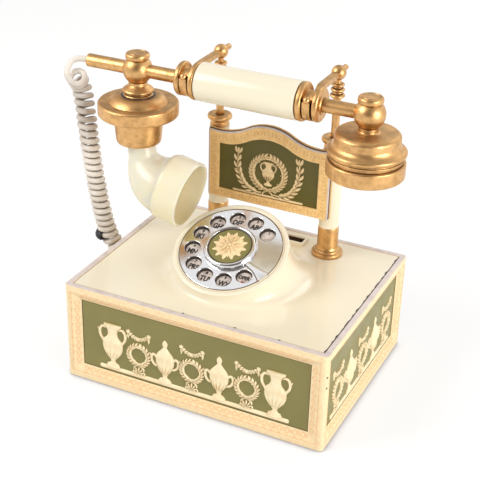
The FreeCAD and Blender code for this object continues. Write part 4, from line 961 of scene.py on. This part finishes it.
def on_dial(shape):
    """Moves a shape from the dial's own frame, Z along its spindle, into the telephone."""
    return moved(shape, Matrix.Translation(dial_centre) @ Matrix.Rotation(dial_tilt, 4, "X"))


def flat_text(words, size):
    """Letters as a flat shape in the XY plane, from the origin to the right."""
    data = bpy.data.curves.new("words", "FONT")
    data.body = words
    data.size = size
    data.align_x = "LEFT"
    data.align_y = "CENTER"
    data.extrude = 0.06
    data.offset = 0.042 * size
    data.resolution_u = 4
    return baked(data)


def make_dial(holes):
    wheel_radius, wheel_thick, bore_radius, hole_radius = 37.6, 1.4, 3.0, 6.0
    circles = [(wheel_radius, 0, 0), (bore_radius, 0, 0)] + [(hole_radius, hole.x, hole.y) for hole in holes]
    wheel = flat_plate(circles, -wheel_thick, 0.0, 0.3, round_spline)
    rim = ((16.45, 0.0), (19.8, 0.0, 0.3), (19.8, 1.2, 0.8), (19.2, 2.8, 0.9), (18.2, 3.9, 0.6),
           (17.2, 4.0, 0.3), (16.45, 3.4, 0.2))
    disc = ((0, 0.2), (16.35, 0.2), (16.35, 2.5, 0.3), (15.6, 2.8, 0.4), (10.0, 3.2, 1.0), (0, 3.4))
    # Painted shade: a dark sleeve under each finger hole stands for the shade beneath the wheel.
    cup = lathe(((6.05, -0.25), (5.25, -2.55), (5.6, -2.6), (6.4, -1.3)), 0.05, True, 40)
    shade_cups = joined([moved(cup, Matrix.Translation((hole.x, hole.y, 0))) for hole in holes])
    lip = ((38.25, -1.8), (38.9, -1.8, 0.2), (38.9, 0.05, 0.3), (38.25, 0.05, 0.2))
    # Painted shade: a brown ring in the gap round the wheel's edge.
    line = ((37.65, -0.9), (38.25, -0.9, 0.1), (38.25, 0.0, 0.1), (37.65, 0.0, 0.1))
    # Painted shade: a dark ring where the hub disc meets its rim.
    groove_shade = ((15.4, 2.3), (15.4, 2.95, 0.1), (15.9, 3.25, 0.2), (16.5, 3.25, 0.1), (16.5, 2.3))
    for name, shape, material, body, stands_for, slot in (
        ("dial_wheel", wheel, chrome, "dial", ("finger_wheel",), "chrome"),
        ("hub_rim", lathe(rim, 0.3, True, 128), chrome, "dial", ("hub_ring",), "chrome"),
        ("hub_disc", lathe(disc, 0.2, False, 128), olive, "dial", ("cameo_disc",), "olive_paint"),
        ("dial_shade_cups", shade_cups, shade_brown, "dial", (), "chrome"),
        ("dial_lip", lathe(lip, 0.1, True, 144), ivory, "base", (), "cream_plastic"),
        ("dial_gap_shade", lathe(line, 0.1, True, 144), thin_shade_brown, "base", (), "cream_plastic"),
        ("hub_groove_shade", lathe(groove_shade, 0.1, True, 128), shade_brown, "dial", (), "chrome"),
    ):
        piece(name, on_dial(shape), material, body, stands_for, 50)


def make_dial_letters(holes):
    """The digits and letter groups on the number plate, with the last digit in red."""
    number_top = -2.62
    digit_size = 3.2
    narrow = Matrix.Diagonal((0.78, 1, 1, 1))
    words, reds = [], []
    groups = ("", "ABC", "DEF", "GHI", "JKL", "MNO", "PRS", "TUV", "WXY", "OPER")
    for digit, letters in enumerate(groups, 1):
        hole = holes[digit - 1] + Vector((0, 0, number_top))
        size, left, low, high, target = (6.2, -3.5, -1.8, 3.6, words)
        if digit == len(holes):
            size, left, low, high, target = (4.4, -4.5, 0.3, -3.7, reds)
        if letters:
            spot = Matrix.Translation(hole + Vector((left, low, 0)))
            words.append(moved(flat_text(letters, size), spot @ narrow))
        digit_shape = flat_text(str(digit % 10), digit_size)
        target.append(moved(digit_shape, Matrix.Translation(hole + Vector((-1.1, high, 0)))))
    piece("dial_letters", on_dial(joined(words)), ink, "base")
    piece("dial_zero", on_dial(joined(reds)), red_ink, "base")


def make_stop_shade():
    """Painted shade: a dark sheet under the finger stop's blade, standing for its shadow."""
    blade = ((38.3, -5.0), (38.3, 5.0), (24.7, 2.25), (20.25, 2.25), (20.25, -2.25), (29.2, -2.25))
    rows = [[Vector((x, y, height)) for x, y in blade] for height in (0.14, 1.0)]
    shade_line = moved(skin(rows, capped=True), Matrix.Rotation(stop_angle, 4, "Z"))
    piece("finger_stop_shade", on_dial(shade_line), thin_shade_brown, "base", ())


hole_angles = [first_hole_angle + finger_hole_step * digit for digit in range(10)]
finger_holes = [unit(angle).to_3d() * finger_hole_circle for angle in hole_angles]
make_dial(finger_holes)
make_dial_letters(finger_holes)
make_stop_shade()

# Relief work: shapes in a panel's own frame, U to the right, V up and W out of the panel

# How far a relief goes into its panel, and the steps along a curve
sink = -0.15
curve_steps = 14


def band_row(point, side, height, section):
    """One cross section of a strip, sunk a little into its panel."""
    spots = [(point + side * across, up) for across, up in section]
    return [Vector((spot.x, spot.y, sink + (height - sink) * up)) for spot, up in spots]


def raised_band(path, widths, heights):
    """A strip with a rounded back along (u, v) points; its half widths and heights may be lists."""
    section = ((-1.0, 0.0), (-0.72, 0.62), (0.0, 1.0), (0.72, 0.62), (1.0, 0.0))
    widths = listed(widths, len(path))
    heights = listed(heights, len(path))
    rows = []
    for index, point in enumerate(path):
        ahead = heading(path, index)
        rows.append(band_row(point, Vector((-ahead.y, ahead.x)) * widths[index], heights[index], section))
    return skin(rows, capped=True)


def closed_band(path, width, height):
    """A rounded strip along a closed loop of (u, v) points, mitred at its corners."""
    section = ((-1.0, 0.0), (-0.6, 0.75), (0.0, 1.0), (0.6, 0.75), (1.0, 0.0))
    most_stretch = 1.6
    rows = []
    for index, point in enumerate(path):
        way = (point - path[index - 1]).normalized() + (path[(index + 1) % len(path)] - point).normalized()
        stretch = min(2.0 / max(way.length, 0.5), most_stretch)
        side = Vector((-way.y, way.x)).normalized() * stretch * width
        rows.append(band_row(point, side, height, section))
    return skin(rows, True)


def leaf(root, angle, length, width, height, curl=0.0):
    """A pointed leaf from a root, its angle in degrees from U."""
    steps = 6
    tip = 0.03
    low_share = 0.35
    path, widths, heights = [], [], []
    for step in range(steps + 1):
        share = step / steps
        path.append(root + unit(angle + curl * share) * length * share)
        form = sin(pi * min(max(share, tip), 1 - tip)) ** 0.75
        widths.append(width * form)
        heights.append(height * (low_share + (1 - low_share) * form))
    return raised_band(path, widths, heights)


def bead(middle, across, height, segments=12, up=None):
    """A low boss, round or oval."""
    levels = 4
    up = up or across
    rows = []
    for level in range(levels):
        lift = pi / 2 * level / levels
        reach = cos(lift)
        centre = Vector((middle.x, middle.y, sink + (height - sink) * sin(lift)))
        rows.append(ring(centre, Vector((across * reach, 0, 0)), Vector((0, up * reach, 0)), segments))
    rows.append([Vector((middle.x, middle.y, height))])
    return skin(rows, capped=True)


def half_turned(middle, points, depth, rib_low, rib_high):
    """A vase in half relief from (v, radius) points, with flutes between two levels."""
    segments = 32
    flutes, flute_depth = 7, 0.34
    full_radius = 7.0
    rows = []
    for level, radius in points:
        lift = depth * min(1.0, radius / full_radius) ** 0.6
        fade = 0.0
        if rib_low <= level <= rib_high:
            fade = sin(pi * (level - rib_low) / (rib_high - rib_low))
        row = []
        for step in range(segments + 1):
            turn = pi * step / segments
            fluted = 1.0 - flute_depth * fade * (0.5 + 0.5 * cos(2 * flutes * turn))
            height = sink + (lift * fluted - sink) * sin(turn) ** 0.7
            row.append(Vector((middle - radius * cos(turn), level, height)))
        rows.append(row)
    return skin(rows, capped=True)


def side_curve(origin, side, controls, steps=curve_steps):
    """A Bezier curve with four (u, v) controls from an origin, mirrored where side is -1."""
    a, b, c, d = (origin + Vector((side * u, v)) for u, v in controls)
    points = []
    for step in range(steps + 1):
        t = step / steps
        points.append(a * (1 - t) ** 3 + b * 3 * t * (1 - t) ** 2 + c * 3 * t * t * (1 - t) + d * t ** 3)
    return points


# Vase outlines as (height, radius) and handles as (reach, height), as shares of the whole height
open_vase = (
    (0.0, 0.17), (0.05, 0.17), (0.055, 0.15), (0.085, 0.145), (0.10, 0.09), (0.13, 0.06), (0.165, 0.055),
    (0.18, 0.075), (0.195, 0.08), (0.21, 0.075), (0.25, 0.125), (0.30, 0.185), (0.36, 0.225), (0.43, 0.252),
    (0.50, 0.26), (0.55, 0.255), (0.565, 0.262), (0.60, 0.262), (0.615, 0.248), (0.66, 0.205),
    (0.70, 0.155), (0.74, 0.13), (0.80, 0.118), (0.86, 0.13), (0.91, 0.165), (0.945, 0.205), (0.95, 0.22),
    (0.985, 0.225), (1.0, 0.215),
)
lidded_vase = (
    (0.0, 0.20), (0.05, 0.20), (0.06, 0.17), (0.09, 0.16), (0.11, 0.08), (0.15, 0.06), (0.18, 0.085),
    (0.21, 0.08), (0.27, 0.16), (0.34, 0.225), (0.42, 0.265), (0.50, 0.28), (0.555, 0.275), (0.565, 0.29),
    (0.60, 0.29), (0.615, 0.27), (0.65, 0.25), (0.70, 0.205), (0.75, 0.14), (0.80, 0.085), (0.83, 0.055),
    (0.86, 0.065), (0.91, 0.085), (0.96, 0.06), (1.0, 0.012),
)
open_handle = ((0.235, 0.60), (0.40, 0.70), (0.34, 0.98), (0.17, 0.90))
lidded_handle = ((0.26, 0.58), (0.47, 0.72), (0.47, 0.36), (0.235, 0.36))


def vase_relief(middle, low, high, outline, handle, depth=2.2, slim=1.0):
    """A footed vase with flutes, leaves, a beaded shoulder and two scrolled handles."""
    tall = high - low
    wide = tall * slim
    rib_low, rib_high, shoulder = (low + share * tall for share in (0.2, 0.57, 0.582))
    bead_up = 0.018 * tall
    points = [(low + v * tall, r * wide) for v, r in outline]
    shapes = [half_turned(middle, points, depth, rib_low, rib_high)]
    for step in range(-5, 6):
        turn = step / 5.6 * pi / 2
        place = Vector((middle + sin(turn) * 0.25 * wide, shoulder))
        across = bead_up * cos(step / 7.0 * pi / 2)
        shapes.append(bead(place, max(across, 0.25), depth * cos(turn) ** 0.7 + 0.45, 8, bead_up))
    for step in range(-2, 3):
        root = Vector((middle + step * 0.035 * wide, rib_low))
        length = (0.30 - 0.012 * step * step) * tall
        shapes.append(leaf(root, 90 - step * 15, length, 0.034 * wide, depth * cos(step * 0.42) + 0.35))
    widths = [0.026 * tall * (1.15 - 0.3 * abs(step / curve_steps - 0.5)) for step in range(curve_steps + 1)]
    for side in (-1, 1):
        path = side_curve(Vector((middle, low)), side, [(u * wide, v * tall) for u, v in handle])
        shapes.append(raised_band(path, widths, 0.6 * depth))
        shapes.append(bead(path[0], 0.04 * tall, 0.65 * depth, 10))
        shapes.append(leaf(path[6], 90 - side * 30, 0.09 * tall, 0.02 * tall, 0.5 * depth))
    return joined(shapes)


def wreath_relief(middle, radius, leaves, leaf_length, depth=1.7):
    """A ring of laurel with berries and a ribbon at its foot."""
    stem = ring(middle, Vector((radius, 0)), Vector((0, radius)), 48)
    shapes = [closed_band(stem, 0.75, depth * 0.6)]
    leaf_width = leaf_length * 0.21
    for half in (-1, 1):
        for index in range(leaves):
            turn = -90 + half * (14 + (160 / leaves) * index)
            root = middle + unit(turn) * radius
            for lean, reach, height in ((28, 1.0, 1.0), (-30, 0.92, 1.0), (0, 0.8, 0.8)):
                angle = turn + half * (90 + lean)
                shapes.append(leaf(root, angle, leaf_length * reach, leaf_width, depth * height))
            if index % 2:
                berry = middle + (root - middle) * (1.18 if index % 4 == 1 else 0.82)
                shapes.append(bead(berry, 0.55, depth * 0.9, 8))
    foot = middle - Vector((0, radius))
    for side in (-1, 1):
        bow = side_curve(foot, side, ((0, 0), (5.2, 3.2), (5.4, -2.4), (0, 0)))
        shapes.append(raised_band(bow, 0.55, depth * 0.8))
        tail = side_curve(foot, side, ((0, 0), (1.0, -2.6), (4.6, -1.8), (4.0, -5.2)))
        shapes.append(raised_band(tail, 0.6, depth * 0.6))
    shapes.append(bead(foot, 1.0, depth * 1.05, 10, 0.9))
    return joined(shapes)


def swag_relief(start, end, sag, depth=1.3):
    """A hanging garland of leaves between two rosettes."""
    shapes = []
    span = end - start
    count = 9
    for index in range(count):
        share = (index + 0.5) / count
        root = start + span * share - Vector((0, sag * 4 * share * (1 - share)))
        slope = degrees_of(Vector((span.x, -sag * 4 * (1 - 2 * share))))
        towards_middle = slope if share < 0.5 else slope + 180
        for lean, length in ((32, 2.6), (-32, 2.6), (0, 2.9)):
            shapes.append(leaf(root, towards_middle + lean, length, 0.75, depth))
    for end_point in (start, end):
        shapes.append(bead(end_point, 1.3, depth))
        shapes += [leaf(end_point, petal * 60 + 30, 1.9, 0.6, depth * 0.7) for petal in range(6)]
        shapes.append(leaf(end_point, -90, 6.0, 0.9, depth * 0.8))
    shapes.append(bead(start + span * 0.5 - Vector((0, sag)), 1.2, depth * 1.15))
    return joined(shapes)


def palmette_relief(foot, size, depth=1.5):
    """A fan of petals over a pair of scrolls."""
    shapes = []
    for place in range(-3, 4):
        reach = size * (1.0 - 0.055 * place ** 2)
        shapes.append(leaf(foot, 90 + place * 27, reach, size * 0.105, depth, 6 * place))
    controls = [(u * size, v * size) for u, v in ((0, 0), (0.5, -0.25), (0.95, 0.1), (0.6, 0.25))]
    for side in (-1, 1):
        scroll = side_curve(foot, side, controls)
        shapes.append(raised_band(scroll, 0.5, depth * 0.7))
        shapes.append(bead(scroll[-1], 0.8, depth * 0.8, 10))
    shapes.append(bead(foot, size * 0.16, depth * 1.05, 12, size * 0.14))
    return joined(shapes)


def ledge_relief(half_length, low, high, depth=1.2):
    """A narrow ground strip with softened ends."""
    middle = (low + high) / 2
    half = (high - low) / 2
    path = [Vector((u, middle)) for u in (-half_length, 1.0 - half_length, half_length - 1.0, half_length)]
    return raised_band(path, [half * 0.7, half, half, half * 0.7], [depth * 0.6, depth, depth, depth * 0.6])


def upright(y):
    """From a panel's own frame, W = 0 on a face at this y, to the telephone's frame."""
    return Matrix(((1, 0, 0, 0), (0, 0, -1, y), (0, 1, 0, 0), (0, 0, 0, 1)))


# The case's sides: their turn about Z, how far out they are and half their length
case_sides = {
    "front": (0, case_half_y, case_half_x),
    "right": (90, case_half_x, case_half_y),
    "rear": (180, case_half_y, case_half_x),
    "left": (270, case_half_x, case_half_y),
}


def side_matrix(name):
    """From a case side's own frame, W = 0 on its olive panel, to the telephone's frame."""
    turn, reach, _ = case_sides[name]
    return Matrix.Rotation(radians(turn), 4, "Z") @ upright(panel_depth - reach)


def make_case_reliefs():
    """Rows of vases with wreaths, palmettes and swags between them, on three sides of the case."""
    low, high = 16.2, 52.8
    shapes = []
    for name, last, spacing in (("front", 3, 21.6), ("right", 2, 24.5), ("left", 2, 24.5)):
        parts = []
        for place in range(-last, last + 1):
            u = place * spacing
            if place % 2 == 0:
                parts.append(palmette_relief(Vector((u, low + 0.6)), 6.8))
                parts.append(wreath_relief(Vector((u, low + 16.6)), 7.6, 9, 4.3))
                parts.append(swag_relief(Vector((u - 8.4, high - 2.0)), Vector((u + 8.4, high - 2.0)), 4.4))
            elif abs(place) == 1:
                parts.append(vase_relief(u, low, high - 1.0, lidded_vase, lidded_handle, slim=0.74))
            else:
                parts.append(vase_relief(u, low, high, open_vase, open_handle, slim=0.88))
        parts.append(ledge_relief(last * spacing + 11.0, low - 3.0, low + 0.6))
        shapes.append(moved(joined(parts), side_matrix(name)))
    piece("case_motifs", joined(shapes), cameo, "base", ("case_reliefs",), 60)


def rail_frames(half):
    """The slopes round a window as (matrix, half length, run), U along the rail and V down the slope."""
    middle = (case_top + case_foot) / 2
    reach = (case_top - case_foot) / 2 - rail_border
    frames = []
    for along, border, place, length in (
        ((1, 0, 0), rail_border, (0, case_foot + face_band), half - side_border),
        ((-1, 0, 0), rail_border, (0, case_top - face_band), half - side_border),
        ((0, -1, 0), side_border, (face_band - half, middle), reach),
        ((0, 1, 0), side_border, (half - face_band, middle), reach),
    ):
        along = Vector(along)
        inward = Vector((-along.y, along.x, 0))
        slope = inward * (border - face_band) - Vector((0, 0, bevel_depth))
        run = slope.length
        slope.normalize()
        turn = Matrix((along, slope, along.cross(slope))).transposed().to_4x4()
        frames.append((Matrix.Translation((*place, panel_depth)) @ turn, length, run))
    return frames


def bead_and_reel(length, run):
    """Rings with pairs of short bars between them and a row of dashes, along a rail's sloped face."""
    pitch = 5.8
    ring_u, ring_v = Vector((1.55, 0)), Vector((0, 1.75))
    bar_half, dash_half, dash_v = 1.2, 1.1, 0.5
    shapes = []
    count = int(2 * length / pitch)
    for index in range(count):
        u = (index + 0.5 - count / 2) * 2 * length / count
        spot = Vector((u, run * 0.56))
        shapes.append(closed_band(ring(spot, ring_u, ring_v, 12), 0.34, 0.3))
        for shift in (2.55, 3.25):
            bar = [spot + Vector((shift, -bar_half)), spot + Vector((shift, bar_half))]
            shapes.append(raised_band(bar, 0.2, 0.22))
        dash = [Vector((u - dash_half, dash_v)), Vector((u + dash_half, dash_v))]
        shapes.append(raised_band(dash, 0.34, 0.2))
    return joined(shapes)


def side_loop(half, side_inset, end_inset):
    """A rectangle on a case side, moved in from its ends, its foot and its top."""
    u = half - side_inset
    low = case_foot + end_inset
    high = case_top - end_inset
    return [Vector((-u, low)), Vector((u, low)), Vector((u, high)), Vector((-u, high))]


def make_case_mouldings():
    """A rib along the outer edges, a bead and reel row round each window and a dark line of painted shade at
    its foot.
    """
    ribs, rows, lines = [], [], []
    shade_line = 0.2
    for name, (*_, half) in case_sides.items():
        matrix = side_matrix(name)
        outer = matrix @ Matrix.Translation((0, 0, panel_depth))
        ribs.append(moved(closed_band(side_loop(half, 3.6, 0.9), 0.4, 0.25), outer))
        rows.append(moved(closed_band(side_loop(half, face_band, face_band), 0.22, 0.25), outer))
        for rail, length, run in rail_frames(half):
            rows.append(moved(bead_and_reel(length, run), matrix @ rail))
        # Painted shade: a dark olive line round each window where the frame's slope meets the panel.
        edge = side_loop(half, side_border + shade_line, rail_border + shade_line)
        lines.append(moved(closed_band(edge, 0.55, 0.2), matrix))
    trim("frame_mouldings", joined(ribs), peach)
    trim("frame_ring_rows", joined(rows), peach_rings)
    trim("window_edge_shade", joined(lines), shade_olive)
    chip = ((0, 0.15), (0.6, 0.12, 0.1), (0.85, -0.1, 0.1), (0, -0.2))
    places = [(102.2, -78.3, z) for z in (61.0, 52.6)]
    turned("corner_chips", chip, brown, "base", None, places, 0.1, False, 12,
           (0.92, -0.38, 0), 60)


make_case_reliefs()
make_case_mouldings()

# Backplate

def arc_points(first, middle, last):
    """Points on the circle through three (u, v) points, from the first to the last."""
    steps = 18
    a, b, c = Vector(first), Vector(middle), Vector(last)
    cross = 2 * (a.x * (b.y - c.y) + b.x * (c.y - a.y) + c.x * (a.y - b.y))
    u = (a.dot(a) * (b.y - c.y) + b.dot(b) * (c.y - a.y) + c.dot(c) * (a.y - b.y)) / cross
    v = (a.dot(a) * (c.x - b.x) + b.dot(b) * (a.x - c.x) + c.dot(c) * (b.x - a.x)) / cross
    hub = Vector((u, v))
    start = degrees_of(a - hub)
    sweep = (degrees_of(c - hub) - start + 180) % 360 - 180
    return [hub + unit(start + sweep * step / steps) * (a - hub).length for step in range(steps + 1)]


def shield_points(inset_side, inset_low, inset_top):
    """The backplate's humped outline, moved in from its edges, as a closed loop of (u, v) points."""
    half = plate_half - inset_side
    low = plate_bottom + inset_low
    shoulder = plate_shoulder - inset_top
    start = shoulder + 5.0
    peak = shoulder + 9.7
    hump = 17.5
    crown = peak - start
    slope = asin(hump / ((hump ** 2 + crown ** 2) / (2 * crown)))
    fall = atan2(start - shoulder, half - hump)
    sag = hypot(half - hump, start - shoulder) / 2 * tan((slope - fall) / 2)
    dip = Vector(((half + hump) / 2 - sag * sin(fall), (shoulder + start) / 2 - sag * cos(fall)))
    right = arc_points((half, shoulder), dip, (hump, start))
    top = arc_points((hump, start), (0, peak), (-hump, start))
    left = [Vector((-point.x, point.y)) for point in reversed(right)]
    return [Vector((-half, low)), Vector((half, low))] + right + top[1:] + left[1:]


def walk(loop, pitch):
    """Places and headings at even steps round a closed loop."""
    places = []
    carried = 0.0
    for a, b in zip(loop, loop[1:] + loop[:1]):
        span = b - a
        length = span.length
        while carried < length:
            places.append((a + span * (carried / length), degrees_of(span)))
            carried += pitch
        carried -= length
    return places


def make_backplate_trim():
    """Chevrons and mouldings on the border, and the lines along its edge, the dark one a painted shadow."""
    front = upright(plate_front)
    marks = [leaf(place, way + lean, 2.9, 0.5, 0.3)
             for place, way in walk(shield_points(3.6, 3.1, 4.4), 3.0) for lean in (40, -40)]
    trim("backplate_marks", moved(joined(marks), front), gilt_marks)
    outer = closed_band(shield_points(0.8, 0.8, 0.8), 0.5, 0.35)
    inner = closed_band(shield_points(6.3, 5.4, 8.0), 0.5, 0.4)
    trim("backplate_mouldings", moved(joined([outer, inner]), front), gilt)
    outline = shield_points(0.0, 0.0, 0.0)[1:] + [Vector((-plate_half, plate_bottom))]
    for name, depth, lift, radius, material in (
        ("backplate_bright_edge", 0.45, 0.1, 0.70, rim_metal),
        # Painted shadow: the dark brown line behind the backplate's front edge.
        ("backplate_shadow_line", 2.0, 0.4, 0.70, brown),
        ("backplate_gilt_edge", 3.7, 0.6, 0.90, gilt_marks),
    ):
        wider = 1 + lift / plate_half
        line = [Vector((point.x * wider, plate_front + depth, point.y + lift)) for point in outline]
        trim(name, tube(line, radius, 8), material)


def make_backplate_relief():
    """A vase in a wreath between two laurel sprays, on a ledge."""
    low, high = 117.8, 155.4
    middle = (low + high) / 2
    spray_steps = 18
    spray = ((5.0, 3.6), (17.0, 1.0), (27.0, 12.0), (25.0, high - low - 6.0))
    shapes = [wreath_relief(Vector((0, middle + 1.2)), 13.2, 14, 5.2)]
    shapes.append(vase_relief(0.0, middle - 8.6, middle + 10.4, open_vase, open_handle, 1.7))
    for side in (-1, 1):
        stem = side_curve(Vector((0, low)), side, spray, spray_steps)
        shapes.append(raised_band(stem, 0.55, 1.0))
        for index in range(2, spray_steps + 1, 2):
            way = degrees_of(stem[index] - stem[index - 1])
            for lean in (42, -42):
                shapes.append(leaf(stem[index], way + lean, 6.0, 1.25, 1.5, -lean * 0.4))
        shapes.append(leaf(stem[-1], way, 5.0, 1.2, 1.5))
        shapes += [bead(stem[index] + Vector((side * 1.6, 1.2)), 0.8, 1.5, 10) for index in (5, 9, 13)]
    shapes.append(ledge_relief(29.0, low + 0.2, low + 2.2, 1.1))
    whole = moved(joined(shapes), upright(plate_front + plate_panel_sunk))
    piece("backplate_motifs", whole, cameo_tan, "base", ("backplate_relief",), 60)


def make_hub_motif():
    """A full rosette of three rows of petals on the dial's middle."""
    hub_level = 3.1
    centre = Vector((0, 0))
    shapes = []
    for count, first, length, width, height in (
        (12, 0, 12.8, 2.7, 1.0),
        (12, 15, 10.4, 2.1, 1.6),
        (8, 0, 6.4, 1.9, 2.2),
    ):
        for index in range(count):
            angle = first + index * 360 / count
            shapes.append(leaf(centre, angle, length, width, height))
            vein = [unit(angle) * length * share for share in (0.35, 0.6, 0.85)]
            shapes.append(raised_band(vein, [0.22, 0.25, 0.12], [height + 0.3, height + 0.3, height * 0.7]))
    shapes.append(bead(centre, 1.9, 2.7, 16))
    lifted = moved(joined(shapes), Matrix.Translation((0, 0, hub_level)))
    piece("hub_rosette", on_dial(lifted), cameo_warm, "dial", (), 60)


make_backplate_trim()
make_backplate_relief()
make_hub_motif()

# Top cover and the strip round it

def dome_rows():
    """Rings of the dial's housing, from its flared foot on the cover up and over its rim."""
    segments = 144
    steps = 30
    rim_radius = 42.5
    flare = 18.5
    normal = Vector((0, -sin(dial_tilt), cos(dial_tilt)))
    top = dial_centre - normal * 0.6
    foot = Vector((0, -6.0, case_top))
    rings = []
    for step in range(steps + 1):
        share = (step / steps) ** 2.2
        radius = rim_radius + flare * (1 - sqrt(share)) ** 2
        rings.append((foot + (top - foot) * share, dial_tilt * share, radius))
    for inward, down in ((0.5, -0.35), (1.3, -0.5), (2.4, -0.35), (3.4, 0.1), (3.8, 0.8), (3.85, 3.0)):
        rings.append((top - normal * down, dial_tilt, rim_radius - inward))
    rows = []
    for centre, tilt, radius in rings:
        back = Vector((0, cos(tilt), sin(tilt)))
        rows.append(ring(centre, Vector((radius, 0, 0)), back * radius, segments))
    return rows


def make_cover():
    dome = dome_rows()
    foot_loop = [(corner.x, corner.y) for corner in dome[0]]
    outline = soft_rectangle(97.4, 74.9, 0.6)
    slot = soft_rectangle(26.0, 5.0, 0.6, slot_y)
    plate = flat_plate([outline, foot_loop, slot], case_top - 2.0, case_top)
    piece("cover", joined([skin(dome), plate]), cover_ivory, "base", ("top_cover",), 35)


def make_slot():
    """The carrying slot's raised frame, and a dark sleeve and base inside it as painted shade."""
    outer, inner, floor, lining_out, lining_in = (
        soft_rectangle(half_x, half_y, radius, slot_y) for half_x, half_y, radius in (
            (27.0, 6.0, 1.0), (25.0, 4.0, 0.6), (26.5, 5.5, 0.6), (25.1, 4.1, 0.6), (24.7, 3.7, 0.5)))
    slot_frame = flat_plate([outer, inner], case_top - 11.0, case_top + 3.0, 0.5)
    slot_shade_floor = flat_plate([floor], case_top - 12.5, case_top - 10.6)
    lining = flat_plate([lining_out, lining_in], case_top - 10.8, case_top + 1.8)
    piece("slot_frame", slot_frame, ivory, "base", (), 50)
    piece("slot_shade_floor", slot_shade_floor, brown, "base", ())
    piece("slot_shade_sleeve", lining, brown, "base", (), 50)


def make_cover_edge():
    """Painted shade in the gap round the cover and along its right edge, the strip outside it, and flakes of
    wear at its front.
    """
    # Painted shade: a dark plate in the gap round the cover.
    gap = flat_plate([soft_rectangle(98.4, 75.9, 0.5), soft_rectangle(97.0, 74.5, 0.5)],
                     case_top - 1.6, case_top - 0.5)
    trim("cover_gap_shade", gap, shade_brown, 50)
    strip = flat_plate([soft_rectangle(102.2, 79.7, 2.8), soft_rectangle(98.3, 75.8, 0.5)],
                       case_top - 0.5, case_top + 0.22, 0.16)
    trim("rim_strip", strip, rim_metal, 50)
    # Painted shade: a dark wavy strip along the cover's right edge; the three flakes at its front are wear.
    half = 74.5
    steps = 60
    right_shade = [(98.3, -half), (98.3, half)]
    for step in range(steps + 1):
        y = half - 2 * half * step / steps
        right_shade.append((97.3 - 0.28 * (sin(0.31 * y) + sin(0.83 * y + 1) + sin(1.9 * y)), y))
    flakes = [[(x, -75.6), (x + 2.2, -75.6), (x + 1.8, -74.6), (x + 0.4, -74.4)] for x in (-9.0, 31.0, 64.0)]
    marks = joined([flat_plate([loop], case_top - 0.3, case_top + 0.05) for loop in [right_shade] + flakes])
    trim("edge_shade_and_flakes", marks, shade_brown, 50)


make_cover()
make_slot()
make_cover_edge()
